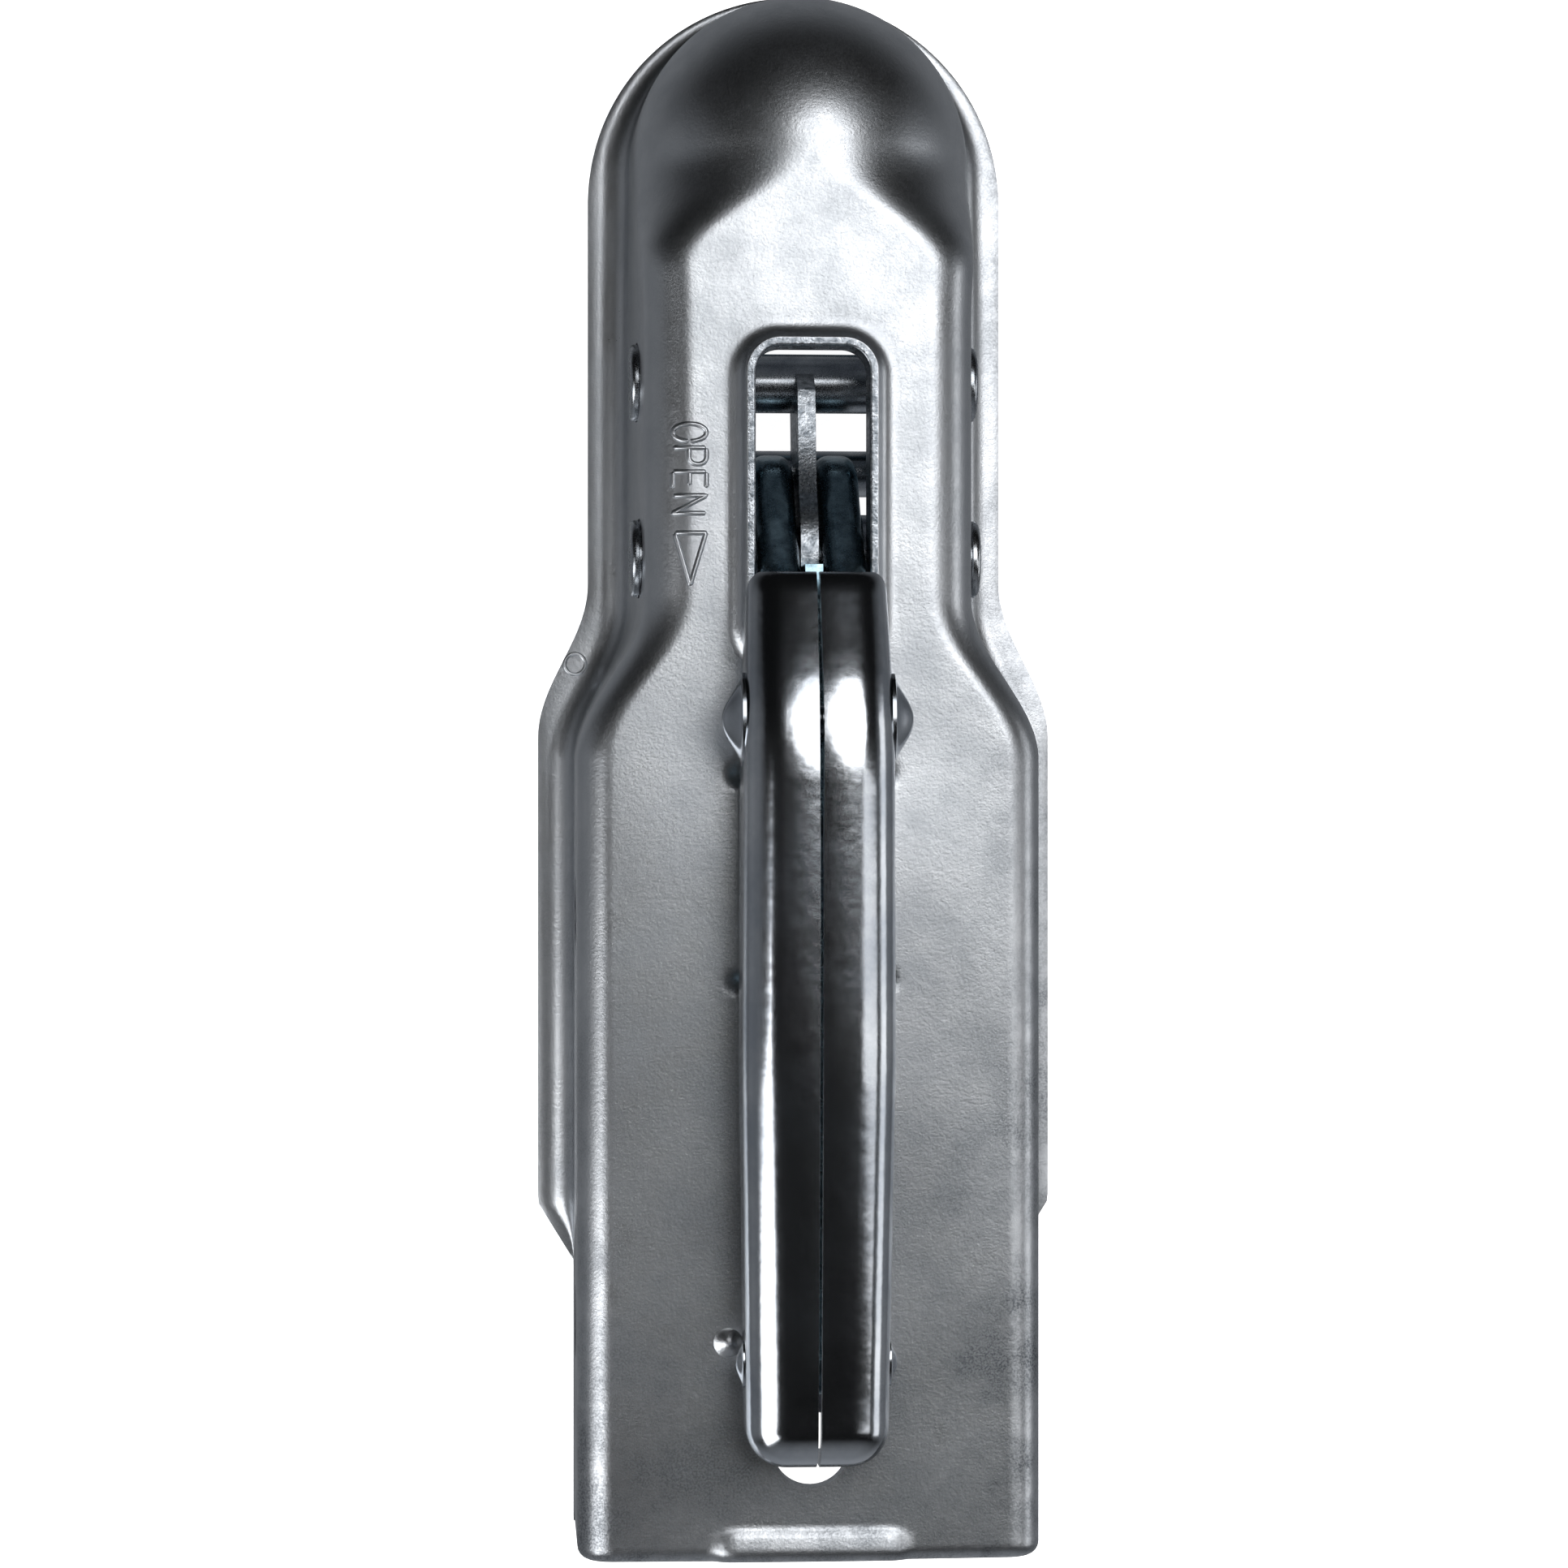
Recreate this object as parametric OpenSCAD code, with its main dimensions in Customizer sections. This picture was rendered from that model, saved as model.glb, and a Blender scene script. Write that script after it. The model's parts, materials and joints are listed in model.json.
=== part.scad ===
// Trailer coupling head for a 50 mm ball and a 70 mm square drawbar.
// The origin is the centre of the seated ball, +Y points forward over the nose and +Z is up.
// All lengths are in millimetres.

/* [Ball and sheet] */
// Diameter of the towing ball
ball_d = 50; // [48:0.5:52]
// Free play between the ball and the socket, on the radius
ball_play = 0.2; // [0.1:0.05:0.4]
// Thickness of the pressed sheet of the housing
sheet_t = 3.5; // [3:0.1:4]

/* [Housing] */
// Width of the square drawbar that the rear channel takes
drawbar_w = 70; // [68:0.5:72]
// From the ball centre to the rear edge
rear_reach = 234.5; // [225:0.5:245]
// From the ball centre down to the underside of the foot flange
foot_drop = 16.5; // [15.5:0.5:18]
// Outer width of the neck at its top bend
neck_w = 54.8; // [54:0.2:56]
// Outer width of the neck at its foot
neck_foot_w = 59.6; // [58.8:0.2:60.4]
// Outer bend radius along the top of the neck
neck_bend = 8; // [7:0.5:10]
// Outer bend radius along the top of the rear box
rear_bend = 6; // [5:0.5:8]
// Length over which the dome flattens into the neck
dome_run = 30; // [26:1:32]
// From the ball centre back to where the shoulders start to widen
shoulder_start = 75; // [74:0.5:77]
// Length of the shoulders
shoulder_run = 27; // [24:1:30]

/* [Foot flange] */
// Radius of the flange round the nose
nose_flange_r = 36; // [35:0.5:37]
// How far the centre of that radius lies behind the ball centre
nose_flange_back = 4.5; // [3.5:0.5:5.5]
// Width of the flange along the neck, beyond the foot of its wall
flange_reach = 6.2; // [5:0.2:7]
// From the ball centre back to where the flange starts to widen
flange_shoulder = 71; // [69:0.5:73]
// From the ball centre back to where the flange is cut away
flange_end = 179; // [170:1:183]
// Length of the slanted end of the flange
flange_slant = 10; // [6:1:14]
// Radius of the bend between the wall and the flange
foot_bend = 2.5; // [1.5:0.25:3]

/* [Slot with raised lip] */
// Width of the slot for the handle
slot_w = 18.8; // [18.6:0.1:19.4]
// From the ball centre back to the front of the slot
slot_front = 34; // [33:0.5:35]
// Length of the slot
slot_l = 50; // [49.5:0.5:52]
// Corner radius of the slot
slot_corner = 5.2; // [4:0.2:6]
// Wall of the raised lip
lip_t = 3; // [2.5:0.25:4]
// Height of the raised lip above the top of the housing
lip_h = 4.3; // [3:0.1:4.4]
// Radius of the rounded outer edge of the lip
lip_round = 1.1; // [0.8:0.1:1.5]
// Radius of the bend where the lip rises from the top
lip_bend = 1.5; // [1:0.25:2]

/* [Drawbar bolts and beads] */
// Diameter of the upright bolt hole and of the cross-bolt holes
bolt_hole_d = 12.5; // [11:0.5:14]
// From the rear edge to the upright bolt hole
bolt_inset = 18.7; // [16:0.1:22]
// From the rear edge to the rear pair of cross-bolt holes
cross_inset = 37; // [35:0.5:42]
// Distance between the two pairs of cross-bolt holes
cross_pitch = 70; // [60:1:74]
// Height of the cross-bolt holes above the ball centre
cross_z = 4; // [0:0.5:8]
// Width of the pressed beads in the top
bead_w = 5.6; // [4:0.2:7]
// Depth of the pressed beads
bead_deep = 1; // [0.5:0.1:1.5]
// Width of the raised pad at the rear edge
pad_w = 30; // [20:1:36]

/* [Cross pins] */
// Diameter of the front pin that carries the ball clamp
front_pin_d = 10; // [9.6:0.1:10.4]
// From the ball centre back to the front pin
front_pin_back = 38; // [37.5:0.25:38.5]
// Height of the front pin above the ball centre
front_pin_z = 8; // [7.5:0.25:8.5]
// Diameter of the pivot pin of the handle
pivot_d = 11; // [10.5:0.1:11.5]
// From the ball centre back to the pivot pin
pivot_back = 68; // [67.5:0.25:68.5]
// Height of the pivot pin above the ball centre
pivot_z = 12; // [11.5:0.25:12.5]
// Diameter of the riveted heads of both pins
pin_head_d = 13; // [12.5:0.5:14]
// How far a riveted head stands proud of its seat
pin_head_t = 1.5; // [1:0.1:2]
// Clearance round a riveted head in its seat
head_play = 0.25; // [0.2:0.05:0.4]
// Running clearance of a pin in its bore, on the radius
run_play = 0.08; // [0.04:0.01:0.1]

/* [Handle] */
// Thickness of the two half shells
shell_t = 2.4; // [2:0.1:2.6]
// Widest outer width of the handle
handle_w = 24.8; // [24.6:0.1:25.4]
// Outer width of the handle at its open front end
handle_front_w = 23; // [23:0.1:23.6]
// From the ball centre back to the open front end
handle_front = 71.7; // [71.5:0.1:72.5]
// Length of the handle
handle_l = 144.8; // [143:0.2:148]
// Highest point of the handle above the ball centre
handle_top = 54; // [53.5:0.25:56]
// How far the top falls from its highest point to the open front end
hood_fall = 7.7; // [7:0.1:8]
// Length of the steep hood at the front end
hood_l = 14.3; // [13:0.1:16]
// How far the top has fallen where the steep hood begins
brow_fall = 2.7; // [2:0.1:3]
// Height of the lower edge of the handle above the ball centre
handle_low = 36; // [35.5:0.25:37]
// Outer radius of the edges and corners of the handle
handle_round = 6.5; // [6:0.25:7]
// Gap at the seam between the half shells
seam_gap = 0.5; // [0.3:0.1:0.9]
// How far the lower edge sweeps up at the open front end
sweep_h = 6.5; // [6:0.25:7]
// Length of that sweep
sweep_l = 30; // [26:1:34]
// How far the lower edge rises at the rear end
tail_h = 3; // [2:0.25:4]
// Length of that rise
tail_l = 14; // [10:1:18]

/* [Cam plates and catch plate] */
// Inner gap between the two cam plates
cam_gap = 4; // [3.9:0.1:4.4]
// Thickness of one cam plate
cam_t = 6.9; // [6.6:0.1:7]
// Radius of the hub of a cam plate
cam_hub_r = 13; // [12:0.25:13.5]
// Radius of the cam at its tip
cam_tip_r = 22.6; // [22:0.1:22.7]
// Loss of cam radius per degree away from the tip
cam_fall = 0.105; // [0.1:0.001:0.115]
// Thickness of the catch plate and of the web of the release lever
plate_t = 3; // [2.5:0.1:3.1]
// Radius of the rim of the catch plate round the pivot pin
rim_r = 14; // [13.5:0.1:14.2]
// Height of the step of the rim that the tooth drops behind
rim_step = 3; // [2.5:0.1:3.2]
// Depth of the catch plate below the front pin
hook_t = 5; // [4:0.25:6]
// How far the catch plate reaches above the front pin
hook_rise = 6; // [5:0.25:7]

/* [Ball clamp] */
// Width of the ball clamp over its two arms
clamp_w = 35; // [34:0.5:36]
// Thickness of one arm of the ball clamp
arm_t = 4.5; // [4:0.25:5]
// Thickness of the spherical pad of the ball clamp
pad_t = 4.5; // [4:0.25:5]
// Diameter of the bar that the cam presses
bar_d = 8; // [7.5:0.1:8.1]
// From the ball centre back to the bar
bar_back = 52; // [51.8:0.1:52.2]
// Drop of the bar below the ball centre
bar_drop = 10; // [9.8:0.1:10.2]

/* [Rivets and lever] */
// Diameter of the two rivets through the handle
rivet_d = 5; // [4.5:0.1:5.4]
// Diameter of the domed boss on the front rivet
boss_d = 12.5; // [11:0.5:13]
// Height of the domed boss
boss_h = 2.6; // [2:0.1:3]
// Diameter of the head of the rear rivet
rear_head_d = 7.5; // [7:0.25:9]
// Height of the head of the rear rivet
rear_head_h = 1.2; // [1:0.1:1.6]
// From the ball centre back to the front rivet
rivet_front_back = 95.6; // [94:0.2:97]
// Height of the front rivet above the ball centre
rivet_front_z = 44; // [43.8:0.1:44.2]
// From the ball centre back to the rear rivet, the pivot of the release lever
rivet_rear_back = 200; // [198:0.5:202]
// Height of the rear rivet above the ball centre
rivet_rear_z = 41; // [40.5:0.25:41.5]
// Width of the finger pad of the release lever
finger_w = 15; // [12:0.5:16]
// Drop of the finger pad below the lower edge of the handle
finger_drop = 4.5; // [4:0.25:5]
// Thickness of the finger pad
finger_t = 2; // [1.5:0.1:2.5]
// Diameter of the wire of the lever spring
lever_wire_d = 1; // [0.8:0.1:1.1]
// Diameter of the wire of the two clamp springs
clamp_wire_d = 1.6; // [1.2:0.1:1.7]

/* [Hidden] */

$fn = 64;
socket_r = ball_d / 2 + ball_play;
dome_r = socket_r + sheet_t;
top_z = dome_r;
rear_w = drawbar_w + 2 * sheet_t;
bend_steps = 10;
nose_steps = 12;
quarter = 90;
cut = 1;
side_play = 0.3;
zinc = "silver";
dark_zinc = "slategray";

// Position of the slot and of the holes along the body
slot_mid = -(slot_front + slot_l / 2);
bolt_y = bolt_inset - rear_reach;
cross_rear_y = cross_inset - rear_reach;
front_pin_y = -front_pin_back;
pivot_y = -pivot_back;
bar_y = -bar_back;
bar_z = -bar_drop;

// The dome leans out by this much from its bend down to its foot
dome_draft = 0.5;

// Soft step from 0 to 1 as t runs from 0 to 1
function ease(t) = 0.5 - 0.5 * cos(180 * max(0, min(1, t)));
function mix(a, b, t) = a + (b - a) * t;
function neck_share(y) = ease(-y / dome_run);
function rear_share(y) = ease((-y - shoulder_start) / shoulder_run);
function along(y, dome, neck, rear) = mix(mix(dome, neck, neck_share(y)), rear, rear_share(y));
function half_top(y) = along(y, dome_r, neck_w / 2, rear_w / 2);
function half_foot(y) = along(y, dome_r + dome_draft, neck_foot_w / 2, rear_w / 2);
function bend_r(y) = along(y, dome_r - dome_draft, neck_bend, rear_bend);
function wall_lean(y) = atan2(half_foot(y) - half_top(y), top_z - bend_r(y) + foot_drop);
// Outer half width of the wall at height z
function wall_at(y, z) = mix(half_top(y), half_foot(y), max(0, (top_z - bend_r(y) - z) / (top_z - bend_r(y) + foot_drop)));

// One half of the section of the sheet at y, from the ridge over the bend down to the foot
function skin(y, inset) = let (r = bend_r(y), lean = wall_lean(y)) concat(
    [[0, top_z - inset]],
    [for (i = [0:bend_steps]) let (a = quarter - (quarter - lean) * i / bend_steps)
        [half_top(y) - r + (r - inset) * cos(a), top_z - r + (r - inset) * sin(a)]],
    [[half_foot(y) - inset, -foot_drop]]);

half_n = bend_steps + 3;
ring_n = 4 * half_n - 2;
shoulder_rows = 8;
dome_rows = 6;
row_y = concat(
    [-rear_reach, -(shoulder_start + shoulder_run)],
    [for (i = [shoulder_rows - 1:-1:0]) -shoulder_start - shoulder_run * i / shoulder_rows],
    [for (i = [dome_rows:-1:0]) -dome_run * i / dome_rows]);
straight_n = len(row_y);
row_n = straight_n + nose_steps;

// The ring of one row runs left foot, ridge, right foot outside and then back inside
function ring(y, turn) = let (out = skin(y, 0), in = skin(y, sheet_t)) [
    for (k = [half_n - 1:-1:0]) row_point(out[k], -1, y, turn),
    for (k = [1:half_n - 1]) row_point(out[k], 1, y, turn),
    for (k = [half_n - 1:-1:0]) row_point(in[k], 1, y, turn),
    for (k = [1:half_n - 1]) row_point(in[k], -1, y, turn)];
function row_point(p, side, y, turn) = [side * p[0] * cos(turn), y + p[0] * sin(turn), p[1]];
function folded(i, c) =
    (i >= straight_n && (c == half_n - 1 || c == 3 * half_n - 2)) ? (straight_n - 1) * ring_n + c :
    (i == row_n - 1 && c > half_n - 1 && c < 2 * half_n - 1) ? i * ring_n + 2 * half_n - 2 - c :
    (i == row_n - 1 && c >= 2 * half_n - 1 && c < 3 * half_n - 2) ? i * ring_n + 6 * half_n - 4 - c :
    i * ring_n + c;
function distinct(f) = f[0] != f[1] && f[1] != f[2] && f[2] != f[0];
// The spine of the housing: one closed skin of the pressed sheet
module pressed_sheet() {
    points = concat(
        [for (y = row_y) each ring(y, 0)],
        [for (k = [1:nose_steps]) each ring(0, quarter * k / nose_steps)]);
    sides = [for (i = [0:row_n - 2]) for (c = [0:ring_n - 1]) let (
        d = (c + 1) % ring_n, a = folded(i, c), b = folded(i, d), e = folded(i + 1, d), f = folded(i + 1, c))
        each [[a, e, b], [a, f, e]]];
    cap = [for (c = [0:2 * half_n - 3]) let (a = c, b = c + 1, e = ring_n - 2 - c, f = ring_n - 1 - c)
        each [[a, b, e], [a, e, f]]];
    polyhedron(points, [for (f = concat(sides, cap)) if (distinct(f)) f], convexity = 6);
}

// Half width of the foot flange at y
function flange_half(y) = mix(neck_foot_w / 2 + flange_reach, rear_w / 2 + flange_reach,
    ease((-y - flange_shoulder) / shoulder_run));
function sheet_mid(y) = half_foot(y) - sheet_t / 2;
flange_side = concat(
    [[rear_w / 2 - sheet_t / 2, -flange_end - flange_slant], [rear_w / 2, -flange_end - flange_slant],
        [rear_w / 2 + flange_reach, -flange_end]],
    [for (i = [shoulder_rows:-1:0]) let (y = -flange_shoulder - shoulder_run * i / shoulder_rows) [flange_half(y), y]]);
flange_nose = [for (a = [0:6:quarter]) [nose_flange_r * cos(a), nose_flange_r * sin(a) - nose_flange_back]];
hole_side = concat(
    [[rear_w / 2 - sheet_t / 2, -flange_end - flange_slant]],
    [for (i = [shoulder_rows:-1:0]) let (y = -shoulder_start - shoulder_run * i / shoulder_rows) [sheet_mid(y), y]],
    [for (i = [dome_rows:-1:1]) let (y = -dome_run * i / dome_rows) [sheet_mid(y), y]]);
hole_nose = [for (a = [0:7.5:quarter]) [sheet_mid(0) * cos(a), sheet_mid(0) * sin(a)]];
function mirrored(points) = [for (i = [len(points) - 1:-1:0]) [-points[i][0], points[i][1]]];
module foot_flange() {
    outer = concat(flange_side, flange_nose);
    inner = concat(hole_side, hole_nose);
    translate([0, 0, -foot_drop]) linear_extrude(sheet_t) difference() {
        polygon(concat(outer, mirrored(outer)));
        polygon(concat(inner, mirrored(inner)));
    }
}

// Closed skin through rings of n points each, with flat ends that are split in triangles round their first point
module ring_skin(rings) {
    m = len(rings);
    n = len(rings[0]);
    polyhedron([for (r = rings) each r], concat(
        [for (k = [1:n - 2]) [0, k, k + 1]],
        [for (i = [0:m - 2]) for (k = [0:n - 1]) let (a = i * n + k, b = i * n + (k + 1) % n)
            each [[a, a + n, b + n], [a, b + n, b]]],
        [for (k = [1:n - 2]) let (a = (m - 1) * n) [a, a + k + 1, a + k]]));
}

// The round bend between wall and flange, carried along one side, round the nose and back
bend_n = 5;
// The bends run into the sheet by this much, so that they cross its surface instead of just touching it
sink = 0.05;
function bend_ring(y, turn) = let (z = sheet_t - foot_drop - sink, x = wall_at(y, z + foot_bend) - sink) [
    for (p = concat([[sheet_mid(y), z - sheet_t / 2], [sheet_mid(y), z + foot_bend]],
        [for (i = [0:bend_n]) let (a = 180 + quarter * i / bend_n)
            [x + foot_bend * (1 + cos(a)), z + foot_bend * (1 + sin(a))]],
        [[x + foot_bend, z - sheet_t / 2]])) row_point(p, 1, y, turn)];
bend_end = flange_end + 0.4 * flange_slant;
bend_y = concat([-bend_end], [for (y = row_y) if (y > -bend_end) y]);
module foot_bend_skin() {
    last = len(bend_y) - 1;
    ring_skin(concat(
        [for (y = bend_y) bend_ring(y, 0)],
        [for (k = [1:2 * nose_steps]) bend_ring(0, quarter * k / nose_steps)],
        [for (i = [last - 1:-1:0]) bend_ring(bend_y[i], 2 * quarter)]));
}

// Rectangle with round corners, centred
module rounded_plan(w, l, r) {
    square([w - 2 * r, l], center = true);
    square([w, l - 2 * r], center = true);
    for (x = [-1, 1], y = [-1, 1]) translate([x * (w / 2 - r), y * (l / 2 - r)]) circle(r);
}
// Section of the lip from the slot outwards, with its round top edge and the bend at its foot
module lip_section() {
    low = -sheet_t / 2;
    polygon(concat(
        [[-cut / 2, low], [-cut / 2, lip_h]],
        [for (a = [quarter:-15:0]) [lip_t - lip_round + lip_round * cos(a), lip_h - lip_round + lip_round * sin(a)]],
        [for (a = [2 * quarter:15:3 * quarter]) [lip_t + lip_bend + lip_bend * cos(a), lip_bend + lip_bend * sin(a) - sink]],
        [[lip_t + lip_bend, low]]));
}
// The section carried round the slot: four straight runs and four corners
module slot_lip() {
    run_x = slot_w - 2 * slot_corner;
    run_y = slot_l - 2 * slot_corner;
    for (s = [-1, 1]) {
        translate([s * slot_w / 2, slot_mid + s * run_y / 2, top_z]) rotate([quarter, 0, s > 0 ? 0 : 2 * quarter])
            linear_extrude(run_y) lip_section();
        translate([s * run_x / 2, slot_mid - s * slot_l / 2, top_z]) rotate([quarter, 0, s > 0 ? -quarter : quarter])
            linear_extrude(run_x) lip_section();
    }
    for (x = [-1, 1], y = [-1, 1]) translate([x * run_x / 2, slot_mid + y * run_y / 2, top_z])
        rotate([0, 0, x > 0 ? (y > 0 ? 0 : -quarter) : (y > 0 ? quarter : 2 * quarter)])
            rotate_extrude(angle = quarter) translate([slot_corner, 0]) lip_section();
}
module slot_cut() {
    translate([0, slot_mid, top_z - sheet_t - cut]) linear_extrude(lip_h + sheet_t + 2 * cut)
        rounded_plan(slot_w, slot_l, slot_corner);
}
// A round bar along X
module cross_bar(y, z, r, x0, x1) {
    translate([x0, y, z]) rotate([0, 90, 0]) cylinder(r = r, h = x1 - x0);
}
// A round bar along X on side s, from near to far from the middle
module side_bar(s, y, z, r, near, far) {
    cross_bar(y, z, r, s > 0 ? near : -far, s > 0 ? far : -near);
}
// Short pressed bead across the top
module bead(x, y, l) {
    translate([x, y, top_z - bead_deep]) linear_extrude(bead_deep + cut) {
        square([l - bead_w, bead_w], center = true);
        for (s = [-1, 1]) translate([s * (l - bead_w) / 2, 0]) circle(bead_w / 2);
    }
}
// The seats of the riveted heads; the leaning wall beside the front pin needs a deeper one
front_sink = 0.3;
seat_front = wall_at(front_pin_y, front_pin_z) - front_sink;
seat_pivot = wall_at(pivot_y, pivot_z);
bead_len = 26;
bead_y = [-104.5, -138.6];
pad_deep = 5.5;
pad_h = 1.2;
pad_corner = 2;
module housing() color(zinc) {
    difference() {
        union() {
            pressed_sheet();
            foot_flange();
            foot_bend_skin();
            slot_lip();
            translate([0, pad_deep / 2 - rear_reach, top_z - cut]) linear_extrude(pad_h + cut)
                rounded_plan(pad_w, pad_deep, pad_corner);
        }
        slot_cut();
        for (s = [-1, 1]) {
            side_bar(s, front_pin_y, front_pin_z, pin_head_d / 2 + head_play, seat_front, rear_w);
            side_bar(s, pivot_y, pivot_z, pin_head_d / 2 + head_play, seat_pivot, rear_w);
        }
        cross_bar(front_pin_y, front_pin_z, front_pin_d / 2 + run_play, -rear_w, rear_w);
        cross_bar(pivot_y, pivot_z, pivot_d / 2 + run_play, -rear_w, rear_w);
        translate([0, bolt_y, 0]) cylinder(r = bolt_hole_d / 2, h = 2 * top_z);
        for (y = [cross_rear_y, cross_rear_y + cross_pitch])
            cross_bar(y, cross_z, bolt_hole_d / 2, -rear_w, rear_w);
        for (y = bead_y) bead(0, y, bead_len);
    }
}

// Pin with a bevelled head riveted over on each side
module riveted_pin(y, z, d, seat) {
    cross_bar(y, z, d / 2, -seat - cut, seat + cut);
    for (s = [-1, 1]) translate([s * seat, y, z]) rotate([0, s * quarter, 0]) rotate_extrude() polygon([
        [0, 0], [pin_head_d / 2, 0], [pin_head_d / 2, pin_head_t / 2], [pin_head_d / 2 - pin_head_t, pin_head_t],
        [0, pin_head_t]]);
}
module front_pin() color(zinc) riveted_pin(front_pin_y, front_pin_z, front_pin_d, seat_front);
module pivot_pin() color(zinc) riveted_pin(pivot_y, pivot_z, pivot_d, seat_pivot);

// Point at radius r and angle a from +Y in the side view, round the pivot pin
function polar(r, a) = [pivot_y + r * cos(a), pivot_z + r * sin(a)];
// Side view outline (Y, Z) pulled out along X from x0 to x1
module side_plate(x0, x1) {
    translate([x0, 0, 0]) rotate([90, 0, 90]) linear_extrude(x1 - x0) children();
}

// Catch plate: a rim with a step round the pivot pin, and a hook open to the front round the front pin
front_r = front_pin_d / 2;
rim_low = 2;
hook_lip = 1.2;
hook_slope = 9;
module catch_plate() color(dark_zinc) {
    hook_y = front_pin_y + hook_lip;
    hook_z = front_pin_z + front_r;
    difference() {
        side_plate(-plate_t / 2, plate_t / 2) {
            polygon(concat(
                [for (a = [40:8:112]) polar(rim_r, a)],
                [for (a = [118:8:158]) polar(rim_r + rim_step, a)],
                [for (a = [166:12:274]) polar(rim_r - rim_low, a)],
                [[front_pin_y - front_pin_d, 0], [front_pin_y, front_pin_z - front_r - hook_t],
                    [hook_y, front_pin_z - front_r - hook_lip / 2], [front_pin_y, front_pin_z],
                    [hook_y, hook_z + hook_lip / 2], [hook_y - hook_rise / 2, hook_z + hook_rise - hook_lip],
                    [front_pin_y - hook_slope, hook_z + hook_rise]]));
        }
        cross_bar(pivot_y, pivot_z, pivot_d / 2 + run_play, -plate_t, plate_t);
        cross_bar(front_pin_y, front_pin_z, front_pin_d / 2 + run_play, -plate_t, plate_t);
        translate([-plate_t, front_pin_y, front_pin_z - front_r - run_play])
            cube([2 * plate_t, front_pin_d, front_pin_d + 2 * run_play]);
    }
}

cam_in = cam_gap / 2;
cam_out = cam_in + cam_t;
bush_wall = 2;
bush_r = pivot_d / 2 + bush_wall;
bush_end = wall_at(pivot_y, pivot_z + bush_r) - sheet_t - side_play;
module bush(s) {
    difference() {
        side_bar(s, pivot_y, pivot_z, bush_r, cam_out + side_play, bush_end);
        cross_bar(pivot_y, pivot_z, pivot_d / 2 + run_play, -rear_w, rear_w);
    }
}
module pivot_bush_left() color(zinc) bush(-1);
module pivot_bush_right() color(zinc) bush(1);

arm_out = clamp_w / 2;
arm_in = arm_out - arm_t;
// Gap between the face of the pad and the ball's socket
seat_gap = 0.2;
// Ball clamp: two arms on the front pin, joined by a pad with a hollow spherical face
arm_hub_r = front_r + 4;
arm_foot_r = bar_d / 2 + 1.6;
clamp_r = socket_r + seat_gap;
pad_front = 19;
pad_back = clamp_r + pad_t;
pad_low = -12.5;
pad_high = 3;
// Point on a hub of radius r round (y, z) at angle a
function on_hub(y, z, r, a) = [y + r * cos(a), z + r * sin(a)];
module ball_clamp() color(dark_zinc) {
    difference() {
        union() {
            for (x = [-arm_out, arm_in]) side_plate(x, x + arm_t) {
                translate([front_pin_y, front_pin_z]) circle(arm_hub_r);
                translate([bar_y, bar_z]) circle(arm_foot_r);
                polygon([[-pad_front, pad_low], [-pad_front, pad_high], on_hub(front_pin_y, front_pin_z, arm_hub_r, 55),
                    on_hub(front_pin_y, front_pin_z, arm_hub_r, 155), on_hub(bar_y, bar_z, arm_foot_r, 155),
                    on_hub(bar_y, bar_z, arm_foot_r, -90), [-pad_back, pad_low]]);
            }
            intersection() {
                sphere(pad_back);
                translate([-arm_out, -2 * clamp_r, pad_low]) cube([clamp_w, 2 * clamp_r - pad_front, pad_high - pad_low]);
            }
        }
        sphere(clamp_r);
        cross_bar(front_pin_y, front_pin_z, front_pin_d / 2 + run_play, -rear_w, rear_w);
        cross_bar(bar_y, bar_z, bar_d / 2, -rear_w, rear_w);
    }
}
bar_proud = 2;
module clamp_bar() color(zinc) cross_bar(bar_y, bar_z, bar_d / 2, -arm_out - bar_proud, arm_out + bar_proud);

// Round wire along a path: side rings of points joined into one closed skin
function unit(v) = v / norm(v);
function wire_ring(p, t, r, n) = let (u = unit(cross(t, [0.31, 0.17, 0.93])), v = cross(unit(t), u))
    [for (k = [0:n - 1]) p + r * (cos(360 * k / n) * u + sin(360 * k / n) * v)];
wire_sides = 8;
module wire(path, r) {
    last = len(path) - 1;
    ring_skin([for (i = [0:last]) wire_ring(path[i], path[min(i + 1, last)] - path[max(i - 1, 0)], r, wire_sides)]);
}
// Torsion spring: a coil round an axis along X from angle a0, between two straight legs that end at the points given
function torsion_path(x, y, z, coil_r, turns, pitch, a0, leg_in, leg_out) = concat(
    [leg_in],
    [for (i = [0:steps_of(turns)]) let (t = i / steps_of(turns), a = a0 - 360 * turns * t)
        [x + pitch * turns * t, y + coil_r * cos(a), z + coil_r * sin(a)]],
    [leg_out]);
function steps_of(turns) = round(turns * 14);
coil_play = 0.5;
coil_gap = 0.1;
clamp_wire_r = clamp_wire_d / 2;
clamp_coil_r = front_r + clamp_wire_r + coil_play;
clamp_coil_x = arm_out + clamp_wire_r + coil_play + side_play;
clamp_pitch = clamp_wire_d + coil_gap;
// As many whole turns as there is room for between the arm and the wall, and a quarter turn more
clamp_coil_end = wall_at(front_pin_y, top_z - bend_r(front_pin_y)) - sheet_t - clamp_wire_r - coil_gap;
clamp_turns = 0.25 + max(0, floor((clamp_coil_end - clamp_coil_x) / clamp_pitch - 0.25));
spring_leg = 8;
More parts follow.
